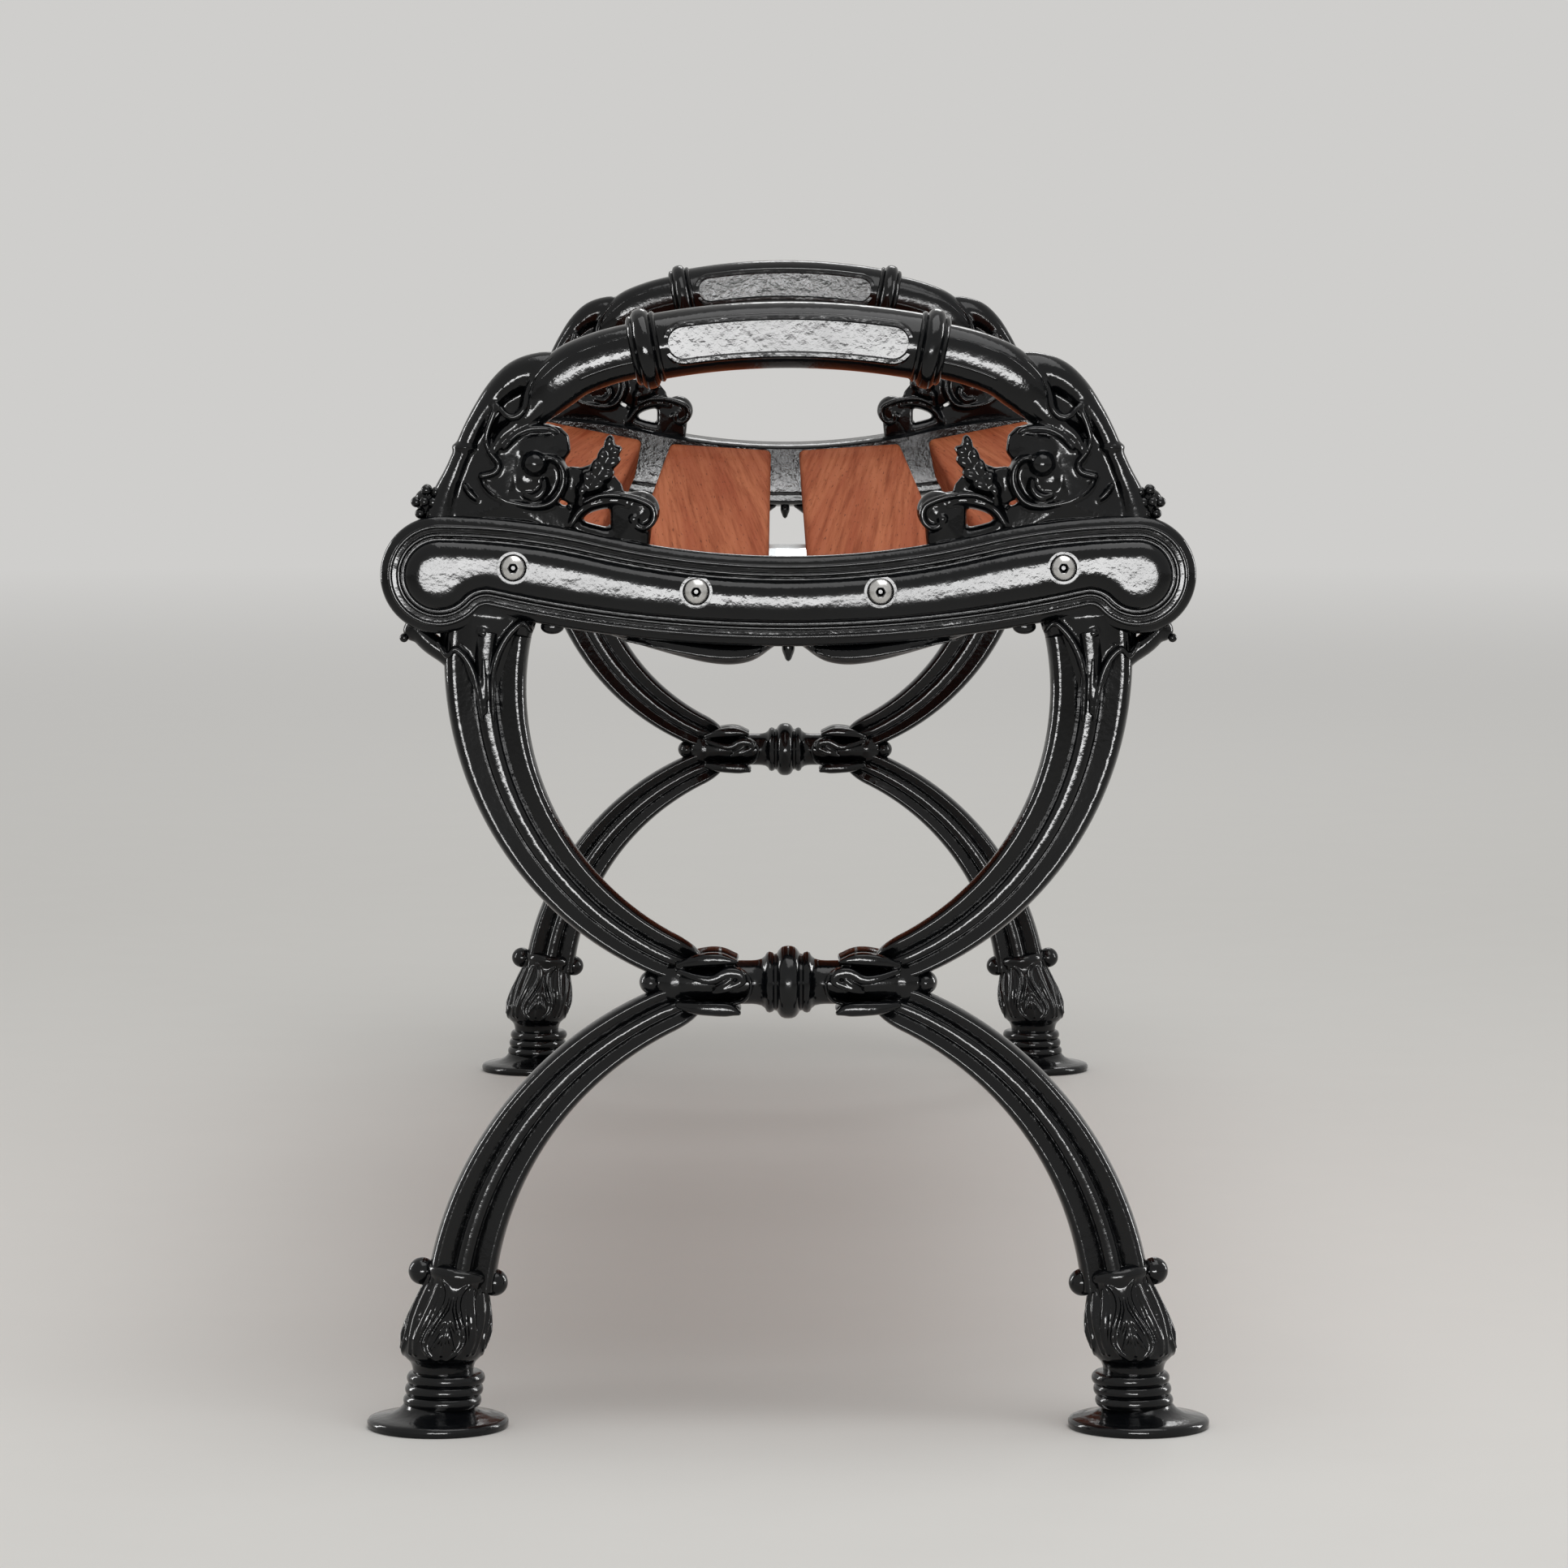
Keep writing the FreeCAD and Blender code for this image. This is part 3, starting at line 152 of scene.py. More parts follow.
class BenchColours(bpy.types.PropertyGroup):
    """Colours of the finishes and of the stage."""
    paint: colour("Paint", "Black gloss paint on the castings", "#050608")
    wood_dark: colour("Wood, dark", "Dark streaks of the slats", "#6B2D1A")
    wood_mid: colour("Wood, middle", "Main colour of the slats", "#9A4F33")
    wood_light: colour("Wood, light", "Pale streaks of the slats", "#B46B49")
    steel: colour("Stainless steel", "Bright screws", "#D2D1CF")
    zinc: colour("Galvanised steel", "Cross bar under the slats", "#C6C9CA")
    floor: colour("Floor", "Pale studio floor", "#E9E8E5")
    backdrop: colour("Backdrop", "Pale background behind the floor", "#CFCECC")


def sizes():
    """The bench's sizes in the open scene."""
    return bpy.context.scene.bench_sizes


def mm(value):
    """A length property in millimetres."""
    return value / MM


def colours():
    """The bench's colours in the open scene."""
    return bpy.context.scene.bench_colours


def rgba(value):
    """A colour with full cover."""
    return (*value, 1.0)


def add(tree, kind, inputs=None, **settings):
    """Adds a node, sets its properties, and fills or links its inputs by name or number."""
    node = tree.nodes.new(kind)
    for key, value in settings.items():
        setattr(node, key, value)
    for key, value in (inputs or {}).items():
        if isinstance(value, bpy.types.NodeSocket):
            tree.links.new(value, node.inputs[key])
        else:
            node.inputs[key].default_value = value
    return node


def per_metre(size_mm):
    """Scale of a texture whose features are this many millimetres across."""
    return 1.0 / (size_mm * MM)


def new_material(name):
    """An empty material, its node tree and the object coordinates that its patterns use."""
    material = bpy.data.materials.new(name)
    material.use_nodes = True
    tree = material.node_tree
    tree.nodes.clear()
    coords = add(tree, "ShaderNodeTexCoord").outputs["Object"]
    return material, tree, coords


# Patterns of the paint: width in millimetres, detail and roughness of the casting's sand grain, of the
# paint's orange peel and of the clouds in its shine. Grain and peel are drawn coarser than real, to show.
PAINT_PATTERNS = ((6.0, 3.0, 0.55), (2.2, 2.0, 0.5), (45.0, 4.0, 0.6))
PAINT_BLOOM = "#0B0D10"


def gloss_paint():
    # Black gloss paint over sand-cast iron: near black, with a wet shine that the casting's grain and
    # the paint's orange peel break into small flecks.
    material, tree, coords = new_material("black_gloss_paint_on_cast_iron")
    sand, peel, cloud = [add(tree, "ShaderNodeTexNoise", {
        "Vector": coords, "Scale": per_metre(width), "Detail": detail, "Roughness": rough}).outputs["Fac"]
        for width, detail, rough in PAINT_PATTERNS]
    bloom = add(tree, "ShaderNodeMapRange", {0: cloud, 1: 0.35, 2: 0.7}).outputs["Result"]
    base = add(tree, "ShaderNodeMix", {0: bloom, 6: rgba(colours().paint), 7: rgba(hex_colour(PAINT_BLOOM))},
               data_type="RGBA").outputs[2]
    rough = add(tree, "ShaderNodeMapRange", {0: cloud, 1: 0.3, 2: 0.75, 3: 0.1, 4: 0.19}).outputs["Result"]
    casting = add(tree, "ShaderNodeBump", {"Height": sand, "Strength": 0.85, "Distance": 0.28 * MM})
    skin = add(tree, "ShaderNodeBump", {"Height": peel, "Strength": 0.3, "Distance": 0.1 * MM,
                                        "Normal": casting.outputs["Normal"]})
    shader = add(tree, "ShaderNodeBsdfPrincipled", {
        "Base Color": base, "Roughness": rough, "IOR": 1.5, "Specular IOR Level": 0.32,
        "Normal": skin.outputs["Normal"]})
    add(tree, "ShaderNodeOutputMaterial", {"Surface": shader.outputs["BSDF"]})
    return material


GRAIN_TILT = math.radians(1.5)
# How far along the timber each next board is cut, in metres.
BOARD_STEP = (0.31, 1.7, 0.23)
# Patterns of the wood: width in millimetres, share of its length left along the board, detail, roughness
# and waviness of the growth bands, of the grain and of the pores, which are drawn wider than real, to show.
WOOD_PATTERNS = ((15.0, 0.014, 3.0, 0.55, 0.6), (3.4, 0.007, 5.0, 0.65, 0.0), (1.0, 0.02, 1.0, 0.5, 0.0))
PORE_SHADE = "#4A2013"


def hardwood(index):
    # Oiled red-brown hardwood, planed: long close grain along the board, darker growth bands and short
    # open pores, with a low sheen. Each board is cut from another place of the same timber.
    material, tree, coords = new_material("oiled_red_hardwood_%d" % (index + 1))
    board = add(tree, "ShaderNodeMapping", {
        "Vector": coords, "Location": tuple(step * index for step in BOARD_STEP),
        "Rotation": (0.0, slat_angle(index), GRAIN_TILT * (-1) ** index)}).outputs["Vector"]
    patterns = []
    for width, stretch, detail, rough, wave in WOOD_PATTERNS:
        drawn = add(tree, "ShaderNodeMapping", {"Vector": board, "Scale": (1.0, stretch, 1.0)})
        patterns.append(add(tree, "ShaderNodeTexNoise", {
            "Vector": drawn.outputs["Vector"], "Scale": per_metre(width), "Detail": detail,
            "Roughness": rough, "Distortion": wave}).outputs["Fac"])
    bands, grain, pores = patterns
    tint = rgba(colours().wood_mid)
    for pattern, low, high, most, shade in ((bands, 0.32, 0.68, 1.0, colours().wood_light),
                                            (grain, 0.45, 0.75, 0.75, colours().wood_dark),
                                            (pores, 0.64, 0.74, 0.65, hex_colour(PORE_SHADE))):
        share = add(tree, "ShaderNodeMapRange", {0: pattern, 1: low, 2: high, 4: most}).outputs["Result"]
        tint = add(tree, "ShaderNodeMix", {0: share, 6: tint, 7: rgba(shade)}, data_type="RGBA").outputs[2]
    rough = add(tree, "ShaderNodeMapRange", {0: grain, 1: 0.3, 2: 0.7, 3: 0.64, 4: 0.8}).outputs["Result"]
    relief = add(tree, "ShaderNodeBump", {"Height": grain, "Strength": 0.25, "Distance": 0.2 * MM})
    pitted = add(tree, "ShaderNodeBump", {"Height": share, "Strength": 0.4, "Distance": 0.15 * MM,
                                          "Normal": relief.outputs["Normal"]}, invert=True)
    shader = add(tree, "ShaderNodeBsdfPrincipled", {
        "Base Color": tint, "Roughness": rough, "IOR": 1.48, "Specular IOR Level": 0.01,
        "Normal": pitted.outputs["Normal"]})
    add(tree, "ShaderNodeOutputMaterial", {"Surface": shader.outputs["BSDF"]})
    return material


# The socket colour is painted shade: near black put into the screws' sockets in place of their shadow.
STEEL_SHADE, PAINTED_SOCKET_SHADE, SPANGLE_SHADE = "#8E908F", "#121212", "#9EA3A6"
SPANGLE = 9.0


def bright_steel(name, tone, grain_mm, rough_low, rough_high):
    # Turned or rolled steel, left bright: grey metal whose fine tool marks vary its sharpness, with painted
    # shade, near black, where a piece is marked as a socket, standing in for the shadow inside the screw
    # heads' sockets.
    material, tree, coords = new_material(name)
    marks = add(tree, "ShaderNodeTexNoise", {"Vector": coords, "Scale": per_metre(grain_mm), "Detail": 3.0,
                                             "Roughness": 0.6}).outputs["Fac"]
    worn = add(tree, "ShaderNodeMapRange", {0: marks, 1: 0.3, 2: 0.7, 4: 0.25}).outputs["Result"]
    clean = add(tree, "ShaderNodeMix", {0: worn, 6: rgba(tone), 7: rgba(hex_colour(STEEL_SHADE))},
                data_type="RGBA").outputs[2]
    # Painted shade: points marked as lying in a socket take the near-black socket colour.
    socket = add(tree, "ShaderNodeAttribute", attribute_name="socket").outputs["Fac"]
    base = add(tree, "ShaderNodeMix", {0: socket, 6: clean, 7: rgba(hex_colour(PAINTED_SOCKET_SHADE))},
               data_type="RGBA").outputs[2]
    rough = add(tree, "ShaderNodeMapRange", {0: marks, 1: 0.3, 2: 0.7, 3: rough_low, 4: rough_high})
    skin = add(tree, "ShaderNodeBump", {"Height": marks, "Strength": 0.15, "Distance": 0.05 * MM})
    shader = add(tree, "ShaderNodeBsdfPrincipled", {
        "Base Color": base, "Metallic": 1.0, "Roughness": rough.outputs["Result"],
        "Normal": skin.outputs["Normal"]})
    add(tree, "ShaderNodeOutputMaterial", {"Surface": shader.outputs["BSDF"]})
    return material


def galvanised_steel():
    # Hot-dip galvanised flat bar: pale metal with a spangle of crystals about a centimetre across.
    material, tree, coords = new_material("galvanised_steel")
    spangle = add(tree, "ShaderNodeTexVoronoi", {"Vector": coords, "Scale": per_metre(SPANGLE)})
    tone = add(tree, "ShaderNodeSeparateColor", {"Color": spangle.outputs["Color"]}).outputs["Red"]
    dull = add(tree, "ShaderNodeMapRange", {0: tone, 4: 0.5}).outputs["Result"]
    base = add(tree, "ShaderNodeMix", {0: dull, 6: rgba(colours().zinc), 7: rgba(hex_colour(SPANGLE_SHADE))},
               data_type="RGBA").outputs[2]
    rough = add(tree, "ShaderNodeMapRange", {0: tone, 3: 0.25, 4: 0.42}).outputs["Result"]
    shader = add(tree, "ShaderNodeBsdfPrincipled", {"Base Color": base, "Metallic": 1.0, "Roughness": rough})
    add(tree, "ShaderNodeOutputMaterial", {"Surface": shader.outputs["BSDF"]})
    return material


def spline(rows, steps):
    """Rows of numbers along a smooth curve through the given rows, with so many steps between each two."""
    rows = np.asarray(rows, float)
    ends = np.vstack([2 * rows[0] - rows[1], rows, 2 * rows[-1] - rows[-2]])
    share = np.linspace(0, 1, steps, endpoint=False)[:, None]
    spans = []
    for a, b, c, d in zip(ends, ends[1:], ends[2:], ends[3:]):
        spans.append(0.5 * (2 * b + (c - a) * share + (2 * a - 5 * b + 4 * c - d) * share ** 2
                            + (3 * b - a - 3 * c + d) * share ** 3))
    return np.vstack(spans + [rows[-1:]])


def unit(vectors):
    """Vectors of length one."""
    vectors = np.asarray(vectors, float)
    return vectors / np.linalg.norm(vectors, axis=-1, keepdims=True)


def full_turn(steps):
    """Angles of a full turn in equal steps."""
    return np.linspace(0, 2 * math.pi, steps, endpoint=False)


def skin_of(rings, endless=False):
    """Points and faces of a skin through rings of equally many points, closed at both ends. An endless one
    runs from its last ring back to the first instead."""
    count, sides = rings.shape[:2]
    faces = []
    for i in range(count if endless else count - 1):
        here, there = i * sides, (i + 1) % count * sides
        for j in range(sides):
            k = (j + 1) % sides
            faces.append((here + j, here + k, there + k, there + j))
    if not endless:
        faces.append(tuple(range(sides - 1, -1, -1)))
        faces.append(tuple(range((count - 1) * sides, count * sides)))
    return rings.reshape(-1, 3), faces


CAP_STEPS = (0.4, 0.72, 0.93)


def stem(route, outward=FRONT, sharp=2.0, steps=8, sides=20):
    """A bent stem of oval section with rounded ends. Each row of the route is x, y, z, half width and half
    depth, and the depth lies along the outward direction. A sharpness over 2 squares the section, and one
    under 2 pinches a keel on it."""
    rows = spline(route, steps)
    centre = rows[:, :3]
    along = unit(np.gradient(centre, axis=0))
    first, last = rows[0], rows[-1]
    caps = []
    for end, direction in ((first, -along[0]), (last, along[-1])):
        reach = min(end[3], end[4])
        caps.append([(np.concatenate([end[:3] + direction * reach * t, end[3:5] * math.sqrt(1 - t * t)]))
                     for t in CAP_STEPS])
    rows = np.vstack([caps[0][::-1], rows, caps[1]])
    along = np.vstack([[along[0]] * len(CAP_STEPS), along, [along[-1]] * len(CAP_STEPS)])
    out = np.broadcast_to(np.asarray(outward, float), along.shape)
    side = unit(np.cross(along, out))
    out = np.cross(side, along)
    turn = full_turn(sides)
    across = np.sign(np.cos(turn)) * np.abs(np.cos(turn)) ** (2 / sharp)
    deep = np.sign(np.sin(turn)) * np.abs(np.sin(turn)) ** (2 / sharp)
    rings = (rows[:, None, :3] + side[:, None, :] * (rows[:, 3:4] * across)[:, :, None]
             + out[:, None, :] * (rows[:, 4:5] * deep)[:, :, None])
    return skin_of(rings)


def flat(rows, y=0.0):
    """A stem's route in the frame's plane, at one depth, from rows of x, z, half width and half depth."""
    return [(x, y, z, width, depth) for x, z, width, depth in rows]


def lathe(profile, base, axis, steps=56):
    """A turned solid from (distance along the axis, radius) pairs."""
    profile = np.asarray(profile, float)
    axis = unit(axis)
    aside = unit(np.cross(axis, (0.0, 1.0, 0.0)) if abs(axis[1]) < 0.9 else (1.0, 0.0, 0.0))
    other = np.cross(axis, aside)
    turn = full_turn(steps)[:, None]
    spoke = aside * np.cos(turn) + other * np.sin(turn)
    rings = (np.asarray(base, float) + profile[:, 0, None, None] * axis
             + profile[:, 1, None, None] * spoke)
    return skin_of(rings)


def ball(centre, radius, squash=(1.0, 1.0, 1.0), steps=20):
    """A round or squashed ball."""
    angle = np.linspace(0.12, math.pi - 0.12, steps // 2)
    points, faces = lathe(np.column_stack([-np.cos(angle), np.sin(angle)]), (0, 0, 0), (0, 0, 1), steps)
    return points * np.asarray(squash) * radius + np.asarray(centre, float), faces


def slab(outline, back, front):
    """A flat plate with an outline of (x, z) points, between two depths."""
    outline = np.asarray(outline, float)
    rings = np.array([[(x, y, z) for x, z in outline] for y in (back, front)])
    return skin_of(rings)


def with_twins(parts, flip):
    """Shapes and their mirror images."""
    return list(parts) + [(points * flip, [face[::-1] for face in faces]) for points, faces in parts]


def pairs(parts):
    """Right-hand shapes and their left-hand twins."""
    return with_twins(parts, (-1.0, 1.0, 1.0))


def faced(parts):
    """Outer-face ornaments and their twins on the inner face of the casting."""
    return with_twins(parts, (1.0, -1.0, 1.0))


def solid(parts):
    """One mesh of closed shells, all facing outwards."""
    work = bmesh.new()
    for points, faces in parts:
        corners = [work.verts.new(point) for point in points]
        for face in faces:
            work.faces.new([corners[i] for i in face])
    bmesh.ops.recalc_face_normals(work, faces=work.faces[:])
    mesh = bpy.data.meshes.new("solid")
    work.to_mesh(mesh)
    work.free()
    return mesh


def evaluated(rough):
    """The plain mesh of an object with its modifiers, after which the object is gone."""
    bpy.context.view_layer.update()
    mesh = bpy.data.meshes.new_from_object(rough.evaluated_get(bpy.context.evaluated_depsgraph_get()))
    bpy.data.objects.remove(rough)
    return mesh


def linked(name, mesh):
    """An object of the scene with this mesh."""
    piece = bpy.data.objects.new(name, mesh)
    bpy.context.scene.collection.objects.link(piece)
    return piece


def fused(parts, cell, softening):
    """One skin over overlapping shapes, as a casting has, softened where they meet."""
    rough = linked("rough", solid(parts))
    skin = rough.modifiers.new("skin", "REMESH")
    skin.mode = "VOXEL"
    skin.voxel_size = cell
    skin.use_smooth_shade = True
    soften = rough.modifiers.new("soften", "SMOOTH")
    soften.factor = 0.5
    soften.iterations = softening
    return evaluated(rough)


def cut_by(mesh, cutters):
    """A mesh with the cutting shapes taken out of it."""
    rough = linked("rough", mesh)
    tools = linked("tools", solid(cutters))
    cut = rough.modifiers.new("cut", "BOOLEAN")
    cut.operation = "DIFFERENCE"
    cut.object = tools
    cut.solver = "EXACT"
    result = evaluated(rough)
    bpy.data.objects.remove(tools)
    return result


def joined(meshes):
    """One mesh out of several."""
    work = bmesh.new()
    for mesh in meshes:
        work.from_mesh(mesh)
    mesh = bpy.data.meshes.new("joined")
    work.to_mesh(mesh)
    work.free()
    return mesh


def smooth(mesh, crease=38.0):
    """Smooth shading, with edges sharper than the crease angle kept."""
    mesh.shade_smooth()
    mesh.set_sharp_from_angle(angle=math.radians(crease))
    return mesh


def stand(name, mesh, material, node="end_frame"):
    """Sets a piece of the end frame at both ends of the bench, the far one facing the other way."""
    for end, facing in (("near", 1.0), ("far", -1.0)):
        own = mesh.copy()
        own.transform(Matrix(((MM, 0, 0, 0), (0, facing * MM, 0, -facing * END_PLANE * MM), (0, 0, MM, 0),
                              (0, 0, 0, 1))))
        if facing < 0:
            own.flip_normals()
        own.materials.clear()
        own.materials.append(material)
        piece = linked("%s_%s" % (name, end), own)
        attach(piece, BODY)
        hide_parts("%s_%s" % (node, end))


def tree_with(name, inputs):
    """A geometry node tree that takes and gives geometry, with named number or object inputs."""
    tree = bpy.data.node_groups.new(name, "GeometryNodeTree")
    tree.interface.new_socket("Geometry", in_out="INPUT", socket_type="NodeSocketGeometry")
    for label, kind in inputs:
        tree.interface.new_socket(label, in_out="INPUT", socket_type=kind)
    tree.interface.new_socket("Geometry", in_out="OUTPUT", socket_type="NodeSocketGeometry")
    return tree, tree.nodes.new("NodeGroupInput")


def end_tree(tree, geometry, material):
    """Realizes the instances, gives them their material and ends the tree."""
    real = add(tree, "GeometryNodeRealizeInstances", {"Geometry": geometry})
    shown = add(tree, "GeometryNodeSetMaterial", {"Geometry": real.outputs["Geometry"], "Material": material})
    add(tree, "NodeGroupOutput", {"Geometry": shown.outputs["Geometry"]})


def grown(mesh, tree, values):
    """The plain mesh that a tree makes from a mesh, with its inputs set by their identifiers."""
    rough = linked("rough", mesh)
    grow = rough.modifiers.new("grow", "NODES")
    grow.node_group = tree
    for item in tree.interface.items_tree:
        if item.in_out == "INPUT" and item.name in values:
            grow[item.identifier] = values[item.name]
    return evaluated(rough)


def bead_tree(material):
    """A round bead swept along every edge loop it is given."""
    tree, given = tree_with("bead_along_line", [("Bead radius", "NodeSocketFloat")])
    route = add(tree, "GeometryNodeMeshToCurve", {"Mesh": given.outputs["Geometry"]})
    ring = add(tree, "GeometryNodeCurvePrimitiveCircle", {"Resolution": 10,
                                                          "Radius": given.outputs["Bead radius"]})
    swept = add(tree, "GeometryNodeCurveToMesh", {"Curve": route.outputs["Curve"],
                                                  "Profile Curve": ring.outputs["Curve"]})
    even = add(tree, "GeometryNodeSetShadeSmooth", {"Geometry": swept.outputs["Mesh"]})
    end_tree(tree, even.outputs["Geometry"], material)
    return tree


def ball_tree(material):
    """A ball on every point it is given, sized by the point's own radius."""
    tree, given = tree_with("balls_on_points", [("Size", "NodeSocketFloat")])
    shape = add(tree, "GeometryNodeMeshIcoSphere", {"Radius": given.outputs["Size"], "Subdivisions": 4})
    even = add(tree, "GeometryNodeSetShadeSmooth", {"Geometry": shape.outputs["Mesh"]})
    radius = add(tree, "GeometryNodeInputNamedAttribute", {"Name": "radius"}, data_type="FLOAT")
    spread = add(tree, "GeometryNodeInstanceOnPoints", {
        "Points": given.outputs["Geometry"], "Instance": even.outputs["Geometry"],
        "Scale": radius.outputs["Attribute"]})
    end_tree(tree, spread.outputs["Instances"], material)
    return tree


def screw_tree(material):
    """The same screw at every point it is given."""
    tree, given = tree_with("screws_on_points", [("Screw", "NodeSocketObject")])
    screw = add(tree, "GeometryNodeObjectInfo", {"Object": given.outputs["Screw"]})
    spread = add(tree, "GeometryNodeInstanceOnPoints", {
        "Points": given.outputs["Geometry"], "Instance": screw.outputs["Geometry"]})
    end_tree(tree, spread.outputs["Instances"], material)
    return tree


def loops(lines):
    """A mesh of closed edge loops."""
    mesh = bpy.data.meshes.new("loops")
    points, edges = [], []
    for line in lines:
        first = len(points)
        points += [tuple(point) for point in line]
        edges += [(first + i, first + (i + 1) % len(line)) for i in range(len(line))]
    mesh.from_pydata(points, edges, [])
    return mesh


def dots(places):
    """A mesh of loose points, each with a radius: rows of x, y, z and radius."""
    mesh = bpy.data.meshes.new("dots")
    mesh.from_pydata([place[:3] for place in places], [], [])
    radius = mesh.attributes.new("radius", "FLOAT", "POINT")
    radius.data.foreach_set("value", [place[3] for place in places])
    return mesh


def paint():
    """The castings' paint, made once."""
    return bpy.data.materials.get("black_gloss_paint_on_cast_iron") or gloss_paint()


def slat_angle(index):
    """Tilt of a slat on the dish."""
    return (index - (SLAT_COUNT - 1) / 2) * SLAT_PITCH / DISH_RADIUS


def slat_point(index, across, up):
    """A point of a slat's section, in the frame's plane."""
    angle = slat_angle(index)
    reach = DISH_RADIUS + SLAT_THICKNESS / 2 - up
    x = math.sin(angle) * reach + math.cos(angle) * across
    z = SEAT_HEIGHT + DISH_RADIUS - math.cos(angle) * reach + math.sin(angle) * across
    return x, z


def screw_middles():
    """Middles of the slats' sections, where the frame screws go."""
    return [slat_point(index, 0, 0) for index in range(SLAT_COUNT)]


def polar(centre, radius, angle):
    """Points round a centre of the frame's plane, with angles from the top towards the right."""
    angle = np.asarray(angle, float)
    return np.column_stack([centre[0] + radius * np.sin(angle), centre[1] + radius * np.cos(angle)])


def rail_outline(offset):
    """Ogee outline of the seat rail, moved outwards by the offset, from underside to hollow."""
    hollow = RAIL_INFLECTION / math.sin(RAIL_SWEEP)
    shoulder = (RAIL_END_X - RAIL_INFLECTION) / math.sin(RAIL_SWEEP)
    bulb, under, cusp = RAIL_BULB + offset, RAIL_UNDER + offset, RAIL_CUSP - offset
    bulb_centre = np.array((RAIL_END_X, RAIL_END_Z))
    under_centre = np.array((0.0, RAIL_BOTTOM + RAIL_UNDER))
    across = under_centre - bulb_centre
    distance = np.linalg.norm(across)
    near = (distance ** 2 + (bulb + cusp) ** 2 - (under + cusp) ** 2) / (2 * distance)
    aside = math.sqrt((bulb + cusp) ** 2 - near ** 2)
    ahead = across / distance
    normal = np.array((ahead[1], -ahead[0]))
    cusp_centre = min((bulb_centre + ahead * near + normal * side for side in (aside, -aside)),
                      key=lambda place: place[1])

    def bearing(centre, place):
        """Angle of a place from a centre, from the top towards the right."""
        return math.atan2(place[0] - centre[0], place[1] - centre[1]) % (2 * math.pi)

    leave = bearing(under_centre, cusp_centre)
    land = bearing(bulb_centre, cusp_centre)
    into, out = bearing(cusp_centre, under_centre), bearing(cusp_centre, bulb_centre)
    out = into + (out - into + math.pi) % (2 * math.pi) - math.pi
    right = np.vstack([
        polar(under_centre, under, np.linspace(math.pi, leave, 60))[:-1],
        polar(cusp_centre, cusp, np.linspace(into, out, 16))[:-1],
        polar(bulb_centre, bulb, np.linspace(land, 0.0, 64))[:-1],
        polar((RAIL_END_X, RAIL_END_Z + RAIL_BULB - shoulder), shoulder + offset,
              np.linspace(0.0, -RAIL_SWEEP, 30))[:-1],
        polar((0.0, RAIL_TOP + hollow), hollow - offset, np.linspace(math.pi - RAIL_SWEEP, math.pi, 34)),
    ])
    left = right[-2:0:-1] * (-1.0, 1.0)
    return np.vstack([right, left])


def rail_ring(offset, y):
    """The rail's outline at a depth."""
    outline = rail_outline(offset)
    return np.column_stack([outline[:, 0], np.full(len(outline), y), outline[:, 1]])


RAIL_EASE = 1.5
# Front of the rail from its edge in to the bolster: offset from the outline and depth behind the face.
RAIL_BORDER = ((RAIL_EDGE, 4.8), (RAIL_EDGE - 0.5, 3.0), (RAIL_EDGE - 1.6, 1.9), (1.4, 0.6), (0.0, 0.4),
               (-3.0, 1.2), (-4.4, 1.3), (-5.6, BOLSTER_FOOT))
BOLSTER_INSET, BOLSTER_CROWN = 6.0, 10.6
LEDGE_DEPTH, LEDGE_ROOT, LEDGE_REACH = 7.0, 4.0, 12.0
APRON_LEAF = ((96, 419, 2.0, 5.0), (70, 412.5, 4.0, 7.5), (40, 406.5, 5.6, 8.5), (22, 406.5, 5.2, 8.0),
              (8, 411.5, 2.0, 6.0))
APRON_VEIN = ((88, 414, 0.7, 1.0), (64, 409, 0.9, 1.4), (40, 404.8, 1.0, 1.6), (24, 404.6, 0.9, 1.4),
              (14, 407, 0.7, 1.0))
APRON_VEIN_Y = -7.5
APRON_DROP = ((0, 413, 3.0, 5.0), (0, 408, 3.4, 5.5), (0, 403.6, 1.8, 3.0))


def seat_rail():
    """The rail: a thick plate with eased edges, a sunk border and a swelling bolster with screw seats."""
    proud = mm(sizes().bolster)
    back = [(RAIL_EDGE - RAIL_DRAFT - RAIL_EASE, RAIL_BACK), (RAIL_EDGE - RAIL_DRAFT, RAIL_BACK - RAIL_EASE)]
    border = [(offset, RAIL_FACE + depth) for offset, depth in RAIL_BORDER]
    turn = np.linspace(0, math.pi / 2, 16)
    fullness = 2 / BOLSTER_FULLNESS
    swell = np.column_stack([-BOLSTER_INSET - BOLSTER_CROWN * (1 - np.cos(turn) ** fullness),
                             RAIL_FACE + BOLSTER_FOOT - (proud + BOLSTER_FOOT) * np.sin(turn) ** fullness])
    rings = np.array([rail_ring(offset, y) for offset, y in [*back, *border, *swell]])
    seats = [lathe([(0, SCREW_SEAT_RADIUS), (20, SCREW_SEAT_RADIUS)], (x, SCREW_SEAT_Y, z), FRONT, 48)
             for x, z in screw_middles()]
    return cut_by(solid([skin_of(rings)]), seats)


def slat_ledge():
    """The step on the inner face of the rail that the slat ends rest on."""
    corners = [(index, side * SLAT_WIDTH / 2) for index in range(SLAT_COUNT) for side in (-1, 1)]
    top = [slat_point(index, across, -SLAT_THICKNESS / 2) for index, across in corners]
    foot = [slat_point(index, across, -SLAT_THICKNESS / 2 - LEDGE_DEPTH) for index, across in corners]
    return slab(top + foot[::-1], RAIL_BACK - LEDGE_ROOT, RAIL_BACK + LEDGE_REACH)


def apron():
    """Leaves that hang under the middle of the rail, with a drop between them."""
    leaf, vein = stem(flat(APRON_LEAF)), stem(flat(APRON_VEIN, APRON_VEIN_Y))
    return pairs([leaf] + faced([vein])) + [stem(flat(APRON_DROP))]


